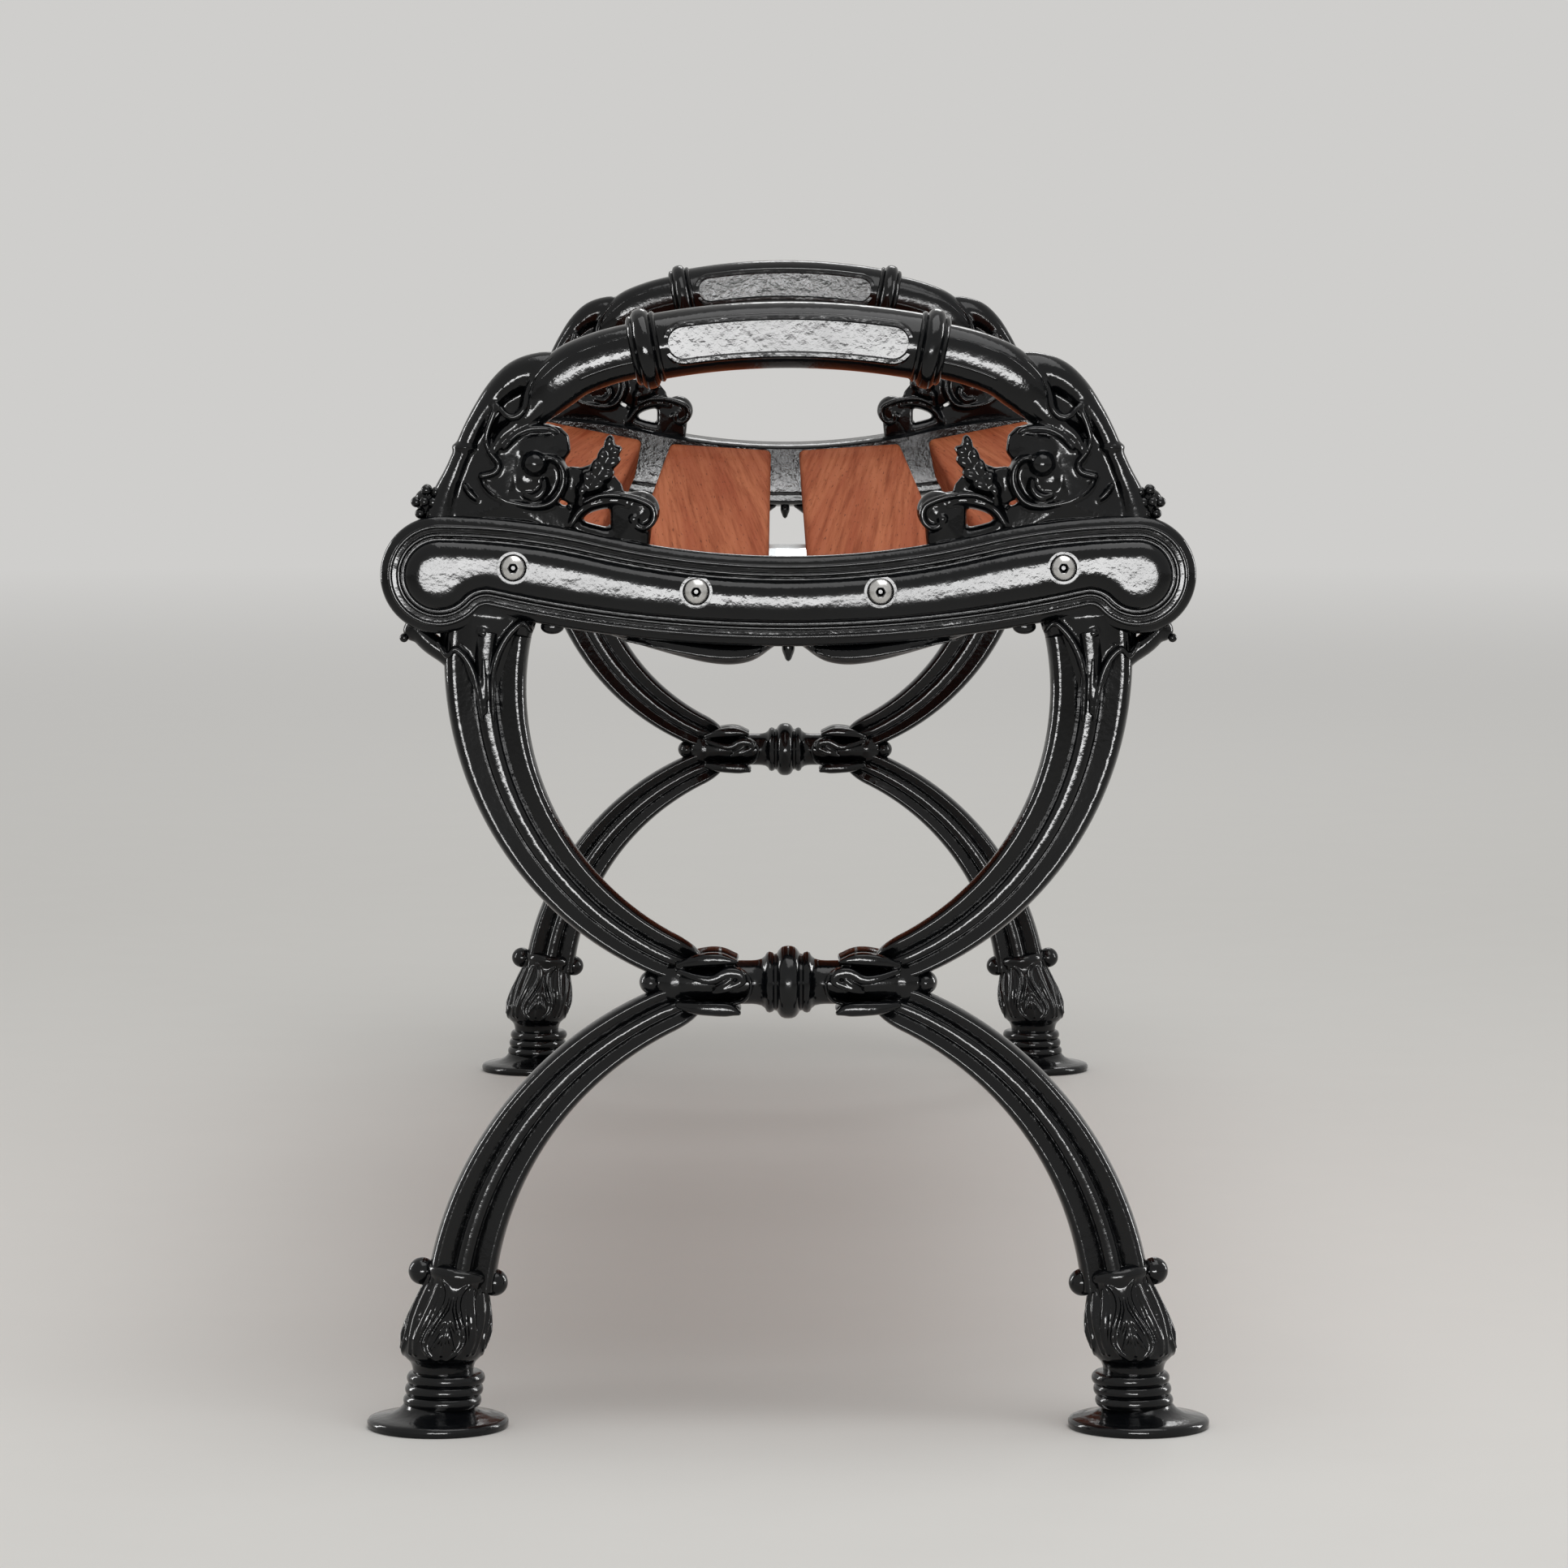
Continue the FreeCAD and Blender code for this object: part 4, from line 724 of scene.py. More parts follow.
class BENCH_OT_seat_rails(bpy.types.Operator):
    """Model the ogee seat rails with their beads, ledges and apron leaves"""
    bl_idname = "bench.seat_rails"
    bl_label = "Seat rails"

    def execute(self, context):
        stand("seat_rail", smooth(seat_rail()), paint())
        beads = loops([rail_ring(offset, RAIL_FACE + sunk) for offset, sunk in BEADS])
        stand("rail_beads", grown(beads, bead_tree(paint()), {"Bead radius": mm(sizes().bead)}), paint())
        stand("rail_apron", fused(apron() + [slat_ledge()], mm(sizes().cell), softening=4), paint())
        return {"FINISHED"}


def sleeve_place(turn, reach, y):
    """A point on the arm sleeve's bend, at a distance outside its centre line."""
    radius = SLEEVE_BEND + reach
    return math.sin(turn) * radius, y, ARM_TOP - SLEEVE_BEND + math.cos(turn) * radius


def sleeve_slot(half_height, y):
    """A round-ended slot on the sleeve's face, bent with it."""
    reach = PANEL_HALF / SLEEVE_BEND
    ends = np.linspace(-math.pi / 2, math.pi / 2, 17)
    line = []
    for side in (1, -1):
        for turn in np.linspace(-reach, reach, 40)[:-1]:
            line.append(sleeve_place(side * turn, side * half_height, y))
        for a in ends[:-1]:
            beyond = half_height * math.cos(a) / SLEEVE_BEND
            line.append(sleeve_place(side * (reach + beyond), -side * half_height * math.sin(a), y))
    return np.array(line)


# Rim of the panel: distance outside the panel's edge, and depth.
PANEL_RIM = ((3.8, -10.5), (3.8, -14.4), (3.4, -15.8), (2.5, -16.6), (0.8, -16.7), (0.0, -15.9),
             (0.0, PANEL_FLOOR + 1.0))
WELL_REACH = -30.0


def arm_sleeve():
    """The thick middle of the arm with a sunk bare panel in a raised rim on each face."""
    radius = mm(sizes().sleeve)
    half = mm(sizes().panel) / 2
    turns = np.linspace(-SLEEVE_TURN, SLEEVE_TURN, 60)
    around = full_turn(64)
    rings = np.array([[sleeve_place(turn, radius * math.cos(a), radius * math.sin(a)) for a in around]
                      for turn in turns])
    well = skin_of(np.array([sleeve_slot(half, PANEL_FLOOR), sleeve_slot(half, WELL_REACH)]))
    sleeve = cut_by(solid([skin_of(rings)]), faced([well]))
    rim = np.array([sleeve_slot(half + beyond, y) for beyond, y in PANEL_RIM])
    return joined([sleeve, solid(faced([skin_of(rim, endless=True)]))])


# Section of the arm's collar, a round ring between fillets: distance along the arm, and how far the
# surface lies below the ring's crest.
COLLAR_PROFILE = ((-8.0, 6.0), (-7.6, 3.4), (-6.6, 2.4), (-5.4, 2.6), (-4.8, 3.2), (-4.2, 2.2), (-3.2, 0.8),
                  (-1.6, 0.1), (0.0, 0.0), (1.6, 0.1), (3.2, 0.8), (4.2, 2.2), (4.8, 3.2), (5.6, 2.8),
                  (6.8, 3.4), (7.6, 5.0), (8.0, 7.0))
# Centre line of the bent tube, with its share of the full radius.
TUBE_ROUTE = ((73.7, 563.8, 1.0), (86.0, 561.4, 1.0), (98.0, 558.0, 1.0), (110.6, 552.8, 0.99),
              (120.7, 545.0, 0.95), (127.5, 537.6, 0.82), (133.0, 530.0, 0.6))
TUBE_SQUARENESS = 2.55
# Ridges on the tube: degrees above its front, and the share of its length they run.
TUBE_RIDGES = ((50.0, 0.86), (32.0, 0.82), (-22.0, 0.5), (-36.0, 0.62), (-50.0, 0.7))
RIDGE_RADIUS = 1.0


def arm_tube():
    """Bent tube from the collar to the scroll, with the leaf ridges that run along it."""
    route = [(x, z, mm(sizes().tube) * share) for x, z, share in TUBE_ROUTE]
    parts = [stem(flat([(x, z, r, r) for x, z, r in route]), sharp=TUBE_SQUARENESS, steps=14, sides=48)]
    rows = spline(route, 12)
    along = unit(np.gradient(rows[:, :2], axis=0))
    normal = np.column_stack([-along[:, 1], along[:, 0]])
    for angle, share in TUBE_RIDGES:
        up, ahead = math.sin(math.radians(angle)), math.cos(math.radians(angle))
        last = max(4, int(len(rows) * share))
        picks = np.linspace(2, last - 1, 9).astype(int)
        ridge = [(rows[i, 0] + normal[i, 0] * up * rows[i, 2], -ahead * rows[i, 2],
                  rows[i, 1] + normal[i, 1] * up * rows[i, 2], RIDGE_RADIUS, RIDGE_RADIUS) for i in picks]
        parts += faced([stem(ridge, steps=4, sides=10)])
    return parts


class BENCH_OT_arms(bpy.types.Operator):
    """Model the arm sleeves with their bare panels, the collars and the bent tubes"""
    bl_idname = "bench.arms"
    bl_label = "Arms"

    def execute(self, context):
        stand("arm_sleeve", smooth(arm_sleeve()), paint())
        centre = sleeve_place(SLEEVE_TURN, 0.0, 0.0)
        axis = (math.cos(SLEEVE_TURN), 0.0, -math.sin(SLEEVE_TURN))
        profile = [(along, mm(sizes().collar) - below) for along, below in COLLAR_PROFILE]
        parts = [lathe(profile, centre, axis, 72)] + arm_tube()
        stand("arm_tubes", smooth(solid(pairs(parts))), paint())
        return {"FINISHED"}


# Stems of the scroll, post, curled leaf and sprig: rows of x, z, half width and half depth.
SCROLL_LEAF = ((127.0, 538.0, 9.5, 12.0), (134.0, 529.6, 7.4, 11.5), (141.0, 524.0, 6.2, 11.0),
               (147.6, 519.0, 5.4, 10.6), (151.4, 512.6, 4.2, 10.0), (152.0, 506.0, 2.0, 8.4))
SCROLL_RIM = ((159.0, 498.4, 1.4, 8.5), (155.0, 491.8, 2.2, 10.0), (147.4, 486.2, 2.6, 10.8),
              (139.0, 483.8, 2.8, 11.0), (129.6, 482.8, 2.8, 11.0), (122.0, 485.2, 2.8, 11.0),
              (117.0, 492.4, 2.7, 11.0), (116.2, 500.2, 2.5, 10.8), (119.6, 506.4, 2.4, 10.6),
              (125.6, 508.4, 2.4, 10.4))
POST = ((116.0, 554.0, 8.0, 8.0), (127.0, 552.6, 9.6, 9.6), (138.6, 549.6, 9.0, 9.4),
        (148.6, 542.4, 7.4, 8.6), (157.0, 531.6, 6.2, 7.8), (163.4, 520.6, 5.6, 7.2),
        (168.2, 510.4, 5.2, 7.0), (172.6, 500.0, 5.4, 7.2), (177.0, 489.6, 6.6, 8.0),
        (180.4, 478.0, 8.6, 9.4), (181.0, 466.0, 9.6, 10.4))
CURL_STALK = ((114, 473, 4.6, 5.5), (104, 469, 5.0, 6.0), (93, 466, 5.4, 6.5))
CURL_LEAF = ((113.0, 472.0, 3.6, 7.0), (107.0, 480.5, 3.8, 7.6), (98.0, 484.5, 4.0, 8.4),
             (88.6, 485.5, 4.4, 9.0), (80.6, 483.5, 5.0, 9.2))
CURL_KEEL = 1.7
SPRIG_STEM = ((108.0, 485.0, 2.4, 6.4), (103.6, 491.4, 2.2, 6.6), (99.0, 498.0, 2.0, 6.6),
              (95.0, 504.6, 1.8, 6.4), (92.4, 511.0, 1.5, 5.6), (91.0, 517.4, 0.8, 3.0))
# Raised lines on their faces: depth, then rows of x, z, half width and half depth.
FACE_LINES = (
    (-8.6, ((150.6, 534.0, 1.5, 2.4), (154.8, 523.2, 1.5, 2.6), (156.0, 516.6, 1.5, 2.8),
            (153.8, 510.6, 1.5, 2.8), (149.6, 505.0, 1.5, 2.8), (151.4, 500.4, 1.5, 2.6),
            (158.6, 498.4, 1.6, 2.6))),
    (-8.6, ((146.8, 513.0, 1.2, 2.4), (141.0, 519.2, 1.6, 3.0), (134.0, 522.6, 1.8, 3.2),
            (127.0, 523.2, 1.8, 3.0), (121.8, 522.5, 1.6, 2.6), (118.6, 520.6, 1.2, 2.0))),
    (-7.8, ((126.0, 496.0, 1.4, 2.4), (126.4, 491.4, 2.0, 3.0), (130.6, 487.4, 2.6, 3.4),
            (136.0, 488.4, 1.4, 2.4))),
    (-7.0, ((167.4, 493.6, 1.1, 1.6), (164.0, 489.0, 1.5, 2.2), (160.4, 485.8, 1.0, 1.6))),
    (-9.0, ((106.0, 484.6, 0.9, 1.8), (99.0, 488.0, 1.2, 2.0), (92.8, 488.9, 1.4, 2.2),
            (86.0, 488.4, 1.5, 2.4), (78.0, 486.6, 1.7, 2.6), (70.4, 482.6, 1.8, 2.6),
            (69.4, 476.0, 1.8, 2.6), (74.0, 471.6, 1.7, 2.4), (80.0, 473.4, 1.4, 1.8))),
)
# Lip of the leaf that wraps the tube: rows of x, y, z, half width and half depth.
LEAF_LIP = ((112.0, -4.4, 564.4, 0.8, 1.2), (120.5, -8.2, 559.6, 1.1, 1.8), (127.0, -8.6, 554.0, 1.3, 2.2),
            (132.2, -9.0, 547.0, 1.5, 2.6), (134.8, -9.8, 540.6, 1.6, 2.8), (135.6, -10.8, 535.0, 1.7, 3.0),
            (138.0, -11.2, 530.8, 1.8, 3.2), (141.6, -11.2, 528.9, 1.9, 3.2), (145.4, -11.0, 529.8, 1.8, 3.0),
            (148.4, -10.4, 533.2, 1.5, 2.6))
# Balls on the faces: the curl's eye, the scroll's eye and the lip's end, as x, y, z, radius and fineness.
FACE_BALLS = ((79.8, -9.4, 476.2, 2.8, 20), (131.1, -8.6, 504.8, 6.4, 28), (150.6, -8.8, 534.4, 2.2, 20))
SCROLL_HUB = (135.0, 0.0, 497.0)
HUB_PROFILE = ((-9.4, 3.0), (-4.0, 17.0), (4.0, 17.0), (9.4, 3.0))
POST_RING = (167.0, 0.0, 513.0)
POST_RING_RADIUS, POST_RING_SHAPE = 8.0, (0.9, 1.0, 0.42)
CURL_HEAD = (77.0, 0.0, 480.0)
CURL_HEAD_RADIUS, CURL_HEAD_SHAPE = 10.6, (1.0, 0.95, 1.0)
# Cushioned plates between the stems: outline, middle, and rings of (share of the outline, half depth).
WEB = (((106.0, 462.0), (109.4, 473.4), (113.0, 482.0), (120.0, 484.0), (124.0, 496.0), (132.0, 508.0),
        (130.0, 531.0), (133.0, 549.0), (147.0, 543.0), (155.0, 530.0), (162.0, 517.0), (168.0, 503.0),
        (174.0, 488.0), (184.0, 476.0), (186.0, 462.0)), (146.0, 484.0),
       ((1.0, 1.5), (0.97, 3.2), (0.8, 5.0), (0.5, 7.0), (0.2, 9.0), (0.03, 10.2)))
SCROLL_CROWN = (((149.0, 511.0), (142.0, 520.5), (134.0, 524.0), (126.0, 524.6), (118.0, 523.6),
                 (113.5, 519.0), (112.5, 510.5), (120.0, 500.0), (135.0, 497.0)), (131.0, 511.0),
                ((1.0, 1.5), (0.94, 3.6), (0.7, 6.0), (0.4, 7.8), (0.15, 9.2), (0.03, 9.8)))
SPRIG_BODY = (((118.0, 486.0), (117.5, 497.0), (113.0, 503.0), (107.0, 502.5), (102.5, 504.0), (98.5, 507.5),
               (95.0, 512.0), (92.4, 516.0), (90.8, 512.0), (91.4, 505.5), (91.0, 499.5), (86.0, 493.5),
               (84.0, 486.0), (98.0, 485.0), (108.0, 481.0)), (102.0, 499.0),
              ((1.0, 0.8), (0.95, 1.9), (0.75, 2.8), (0.45, 3.8), (0.15, 4.8), (0.03, 5.2)))
CURL_BODY = (((92.4, 484.0), (92.4, 458.0), (72.0, 458.0), (70.8, 470.0), (71.6, 478.0), (78.0, 486.0)),
             (81.0, 474.0),
             ((1.0, 2.5), (0.93, 5.2), (0.72, 7.2), (0.4, 8.6), (0.15, 9.6), (0.03, 10.0)))
# Leaflets of the sprig: root and tip of each, then the rows that every leaflet follows from root to tip:
# share of its length, y, half width and half depth.
SPRIG_LEAVES = ((107.0, 486.0, 106.4, 492.4), (103.0, 492.0, 104.4, 499.2), (99.4, 498.0, 99.8, 504.6),
                (96.4, 503.4, 96.0, 510.6), (93.4, 509.0, 92.2, 517.4), (104.0, 490.0, 97.0, 494.0),
                (100.0, 495.6, 91.8, 499.4), (96.4, 502.0, 88.6, 506.2), (93.6, 507.6, 88.0, 511.8))
LEAFLET = ((-0.1, -3.0, 1.3, 1.8), (0.35, -4.4, 2.4, 2.8), (0.75, -5.2, 2.9, 3.2), (1.0, -4.8, 2.1, 2.4))


def pillow(outline, middle, rings):
    """A cushioned plate: its outline drawn in towards a middle point in rings of (share, half depth)."""
    outline = np.asarray(outline, float)
    middle = np.asarray(middle, float)
    steps = [(share, depth) for share, depth in rings[::-1]] + [(share, -depth) for share, depth in rings]
    return skin_of(np.array([[(x, depth, z) for x, z in middle + (outline - middle) * share]
                             for share, depth in steps]))


def leaflet(root_x, root_z, tip_x, tip_z):
    """A small rounded leaf that springs from the sprig's stem."""
    return stem([(root_x + (tip_x - root_x) * share, y, root_z + (tip_z - root_z) * share, width, depth)
                 for share, y, width, depth in LEAFLET], steps=5, sides=14)


def arm_scroll():
    """Scroll, outer post, curled leaf and sprig of the right-hand side."""
    parts = [
        stem(flat(SCROLL_LEAF)),
        stem(flat(SCROLL_RIM)),
        lathe(HUB_PROFILE, SCROLL_HUB, FRONT),
        stem(flat(POST)),
        ball(POST_RING, POST_RING_RADIUS, POST_RING_SHAPE, 28),
        *(pillow(*plate) for plate in (WEB, SCROLL_CROWN, SPRIG_BODY, CURL_BODY)),
        stem(flat(CURL_STALK)),
        ball(CURL_HEAD, CURL_HEAD_RADIUS, CURL_HEAD_SHAPE, 32),
        stem(flat(CURL_LEAF), sharp=CURL_KEEL),
        stem(flat(SPRIG_STEM)),
    ]
    front = [stem(LEAF_LIP)]
    front += [stem(flat(rows, y)) for y, rows in FACE_LINES]
    front += [ball((x, y, z), radius, steps=fineness) for x, y, z, radius, fineness in FACE_BALLS]
    front += [leaflet(*place) for place in SPRIG_LEAVES]
    return parts + faced(front)


# Berry knob on top of the rail's end, and the bud under it: x, y, z and radius of each, and their stems.
BUD_BALLS = ((187.4, 0.0, 485.4, 6.2), (194.0, 0.0, 418.0, 5.8))
BUD_STEMS = (((184, 472, 6.0, 6.5), (186, 479, 4.8, 5.2), (187.4, 485, 5.0, 5.0)),
             ((194, 420, 5, 6), (186, 412, 5.6, 7), (176, 404, 5, 7), (171, 396, 4, 6)))
# Berries on them: x, y, z and radius.
BUD_DOTS = ((192.4, -4.0, 484.8, 2.8), (183.8, -5.0, 484.6, 2.8), (190.4, -4.4, 478.8, 2.7),
            (185.0, -5.2, 478.6, 2.6), (187.2, -4.6, 491.0, 2.7), (182.4, -3.8, 490.0, 2.5),
            (188.2, -6.2, 485.0, 2.6), (199.2, -2.0, 414.2, 2.3), (195.0, -5.2, 421.6, 2.3),
            (188.8, -4.0, 413.8, 2.3))


def end_buds():
    """Berry knob on top of the rail's end, and the bud and leaf under it."""
    parts = []
    for (x, y, z, radius), rows in zip(BUD_BALLS, BUD_STEMS):
        parts += [ball((x, y, z), radius, steps=24), stem(flat(rows))]
    return parts


class BENCH_OT_scrolls(bpy.types.Operator):
    """Model the scrolls, posts, curled leaves and buds between the arms and the seat rails"""
    bl_idname = "bench.scrolls"
    bl_label = "Scrolls"

    def execute(self, context):
        cell = mm(sizes().cell)
        stand("arm_scrolls", fused(pairs(arm_scroll()), cell, softening=6), paint())
        stand("rail_end_buds", fused(pairs(end_buds()), cell, softening=4), paint())
        places = [(side * x, face * y, z, radius) for x, y, z, radius in BUD_DOTS
                  for side in (1, -1) for face in (1, -1)]
        stand("bud_dots", grown(dots(places), ball_tree(paint()), {"Size": 1.0}), paint())
        return {"FINISHED"}


# Quarter of a leg's section from the middle roll to the side: shares of the half width and half depth.
LEG_QUARTER = ((0.0, 1.0), (0.05, 0.996), (0.1, 0.984), (0.15, 0.956), (0.2, 0.896), (0.24, 0.8),
               (0.265, 0.68), (0.28, 0.54), (0.36, 0.572), (0.48, 0.624), (0.6, 0.678), (0.68, 0.718),
               (0.73, 0.737), (0.77, 0.742), (0.81, 0.73), (0.86, 0.69), (0.91, 0.6), (0.955, 0.44),
               (0.985, 0.25), (1.0, 0.0))
# Where a leg's tip ends inside the link: distance from the middle, and height above or below it.
LEG_TIP = (46.0, 8.5)
LEG_TIP_STEPS = 16
LEG_TIP_DRAWN = 0.9
LEG_CREASE = 50.0


def leg_section():
    """The whole keeled section, as shares of the half width and half depth."""
    quarter = np.array(LEG_QUARTER)
    right = np.vstack([quarter, quarter[-2::-1] * (1, -1)])
    return np.vstack([right, right[-2:0:-1] * (-1, 1)])


def keeled(centre, radius, link_turn, far_turn, link_size, far_size, side, stations=90):
    """A leg: the keeled section carried round an arc away from the link, its width and depth changing
    steadily. Its tip is drawn in to dive into the link, from above or from below."""
    section = leg_section()

    def ring(place, outward, width, depth):
        """The section at one place of the leg."""
        return (np.array((place[0], 0.0, place[1])) + outward * section[:, :1] * width / 2
                + np.array((0.0, 1.0, 0.0)) * section[:, 1:] * depth / 2)

    def heading(turn):
        """Direction at an angle in the frame's plane."""
        return np.array((math.cos(turn), 0.0, math.sin(turn)))

    start = np.asarray(centre) + heading(link_turn)[[0, 2]] * radius
    tip = np.array((LEG_TIP[0], LINK_HEIGHT + side * LEG_TIP[1]))
    back = heading(link_turn + side * math.pi / 2)[[0, 2]] * -np.linalg.norm(tip - start) / 2
    rings = []
    for share in np.linspace(1, 0, LEG_TIP_STEPS)[:-1]:
        place = start * (1 - share) ** 2 + (start + back) * 2 * share * (1 - share) + tip * share ** 2
        drawn = math.sqrt(1 - LEG_TIP_DRAWN * share ** 2)
        rings.append(ring(place, heading(link_turn), link_size[0] * drawn, link_size[1] * drawn))
    for share in np.linspace(0, 1, stations):
        outward = heading(link_turn + (far_turn - link_turn) * share)
        width, depth = (a + (b - a) * share for a, b in zip(link_size, far_size))
        rings.append(ring(np.asarray(centre) + outward[[0, 2]] * radius, outward, width, depth))
    return skin_of(np.array(rings))


LEG_DEPTH_TOP, LEG_DEPTH_LINK, LEG_DEPTH_FOOT = 25.0, 22.0, 30.0
# How far the legs' arcs run on into rail and foot, in radians, and how much wider the upper leg gets there.
LEG_INTO_RAIL, LEG_INTO_FOOT = 0.14, 0.03
LEG_FLARE = 3.0


def upper_leg():
    """From an upright start under the rail, round to the link."""
    run_x, run_z = LEG_TOP[0] - LEG_LINK_X, LEG_TOP[1] - LINK_HEIGHT - LEG_LINK_SPREAD
    radius = (run_x ** 2 + run_z ** 2) / (2 * run_x)
    centre = (LEG_TOP[0] - radius, LEG_TOP[1])
    link_turn = math.atan2(-run_z, radius - run_x)
    return keeled(centre, radius, link_turn, LEG_INTO_RAIL, (mm(sizes().leg_link), LEG_DEPTH_LINK),
                  (mm(sizes().leg_top) + LEG_FLARE, LEG_DEPTH_TOP), 1)


def lower_leg():
    """From the link round to the foot's collar, nearly upright at the end."""
    start_up = LINK_HEIGHT - LEG_LINK_SPREAD - LOWER_LEG_CENTRE_HEIGHT
    end_up = FOOT_COLLAR[1] - LOWER_LEG_CENTRE_HEIGHT
    centre_x = ((FOOT_COLLAR[0] ** 2 - LEG_LINK_X ** 2 + end_up ** 2 - start_up ** 2)
                / (2 * (FOOT_COLLAR[0] - LEG_LINK_X)))
    radius = math.hypot(FOOT_COLLAR[0] - centre_x, end_up)
    link_turn = math.atan2(start_up, LEG_LINK_X - centre_x)
    foot_turn = math.atan2(end_up, FOOT_COLLAR[0] - centre_x) - LEG_INTO_FOOT
    return keeled((centre_x, LOWER_LEG_CENTRE_HEIGHT), radius, link_turn, foot_turn,
                  (mm(sizes().leg_link), LEG_DEPTH_LINK), (mm(sizes().leg_foot), LEG_DEPTH_FOOT), -1)


# Husk of the upper leg: depth of each petal and rib, then rows of x, z, half width and half depth.
HUSK_LINES = (
    (-11.6, ((158.2, 372.0, 1.2, 2.4), (159.8, 383.0, 1.5, 3.2), (162.8, 396.4, 1.8, 3.8),
             (167.2, 405.0, 1.8, 4.0), (172.4, 409.2, 1.7, 3.8), (176.4, 405.4, 1.4, 3.0),
             (181.4, 412.4, 1.1, 2.2))),
    (-11.6, ((152.6, 372.0, 1.2, 2.4), (153.0, 391.6, 1.5, 3.2), (151.4, 402.4, 1.8, 3.8),
             (147.8, 411.4, 1.9, 4.0), (142.6, 418.8, 1.8, 4.0), (137.2, 422.6, 1.5, 3.2),
             (132.8, 418.2, 1.1, 2.4))),
    (-10.8, ((156.4, 376, 1.2, 2.4), (157.2, 390, 1.6, 3.2), (157.6, 404, 1.3, 2.4))),
)
# Drops on the husk and beside it: place, radius and shape.
HUSK_DROPS = (((157.8, -10.4, 417.2), 2.8, (1.0, 1.1, 1.0)), ((122.2, -5.0, 420.2), 4.0, (1.6, 1.0, 1.0)))
HUSK_HEAD = ((156.6, 388, 19.6, 7.0), (157, 402, 21.6, 9.0), (157, 416, 24.0, 11.0), (156, 426, 26.0, 12.6))


def husk():
    """Petals, rib and head of the right-hand upper leg."""
    front = [stem(flat(rows, y)) for y, rows in HUSK_LINES] + [ball(*drop) for drop in HUSK_DROPS]
    return [stem(flat(HUSK_HEAD))] + faced(front)


class BENCH_OT_legs(bpy.types.Operator):
    """Model the C-shaped upper and lower legs and the husks under the seat rails"""
    bl_idname = "bench.legs"
    bl_label = "Legs"

    def execute(self, context):
        stand("upper_legs", smooth(solid(pairs([upper_leg()])), LEG_CREASE), paint())
        stand("lower_legs", smooth(solid(pairs([lower_leg()])), LEG_CREASE), paint())
        stand("leg_husks", fused(pairs(husk()), mm(sizes().cell), softening=4), paint())
        return {"FINISHED"}


# Half of the turned link's section, from the middle ring outwards: distance from the middle, and radius.
LINK_PROFILE = ((0.0, 19.0), (1.8, 18.9), (3.6, 18.2), (5.0, 16.8), (6.0, 15.0), (7.2, 14.6), (8.4, 15.6),
                (9.8, 16.0), (11.2, 15.4), (12.2, 13.6), (14.0, 12.2), (16.6, 11.6), (19.0, 11.4),
                (24.0, 11.4), (34.0, 11.4), (44.0, 11.2), (54.0, 10.0), (62.0, 8.0), (66.0, 5.0))
# The petals' faces lean back a little. Each petal has the squareness and number of sides of its section,
# then rows of x, y, z, half width and half depth: the upper petal, the S-shaped ribbon and the hook in its
# curl, the lower petal, and the thin lip round the inner end of the curl.
PETAL_FACE = (0.0, -1.0, 0.08)
PETALS = (
    (3.4, 20, ((57.0, -9.0, 244.2, 1.8, 4.0), (47.0, -10.4, 246.8, 3.4, 7.0), (36.0, -10.8, 247.6, 3.6, 7.6),
               (27.0, -10.8, 246.4, 1.2, 7.0))),
    (3.6, 20, ((56.6, -12.0, 241.4, 1.4, 3.4), (47.0, -13.6, 238.2, 2.2, 5.0), (39.0, -14.0, 237.4, 2.7, 5.4),
               (32.0, -14.0, 240.8, 3.0, 5.6), (26.2, -14.0, 240.4, 3.0, 5.6), (23.6, -13.8, 236.8, 2.2, 5.4),
               (28.0, -13.8, 234.4, 2.2, 5.4), (33.4, -13.8, 232.6, 2.4, 5.4),
               (38.6, -13.2, 230.8, 1.2, 4.6))),
    (3.6, 20, ((37.0, -14.2, 233.2, 0.9, 4.4), (33.0, -14.4, 235.2, 1.3, 5.2),
               (29.4, -14.4, 237.8, 1.3, 5.2))),
    (3.4, 20, ((57.0, -8.6, 223.4, 1.8, 4.4), (48.6, -9.8, 222.2, 3.4, 7.0), (38.2, -10.8, 221.8, 4.0, 7.4),
               (31.0, -10.8, 221.4, 3.8, 7.2), (25.8, -10.8, 219.6, 1.4, 6.6))),
    (2.4, 14, ((25.6, -12.6, 243.0, 0.8, 3.4), (21.2, -13.0, 239.6, 1.0, 3.8), (19.4, -13.0, 234.4, 1.1, 4.0),
               (20.6, -12.6, 229.2, 1.1, 3.8), (24.4, -12.0, 225.4, 1.0, 3.4),
               (31.0, -11.6, 224.6, 0.8, 3.0))),
)
CUFF_X, CUFF_SHAPE = 59.0, (11.0, 9.6, 13.0)
KNUCKLE_X, KNUCKLE_RADIUS, KNUCKLE_SHAPE = 71.5, 6.2, (1.0, 1.4, 1.0)


def calyx():
    """Curling petals on the right-hand half of the link, and the knuckle between the legs."""
    front = [stem(rows, PETAL_FACE, squareness, sides=sides) for squareness, sides, rows in PETALS]
    cuff = ball((CUFF_X, 0.0, LINK_HEIGHT), 1.0, CUFF_SHAPE, 32)
    knuckle = ball((KNUCKLE_X, 0.0, LINK_HEIGHT), KNUCKLE_RADIUS, KNUCKLE_SHAPE, 24)
    return [cuff, knuckle] + faced(front)


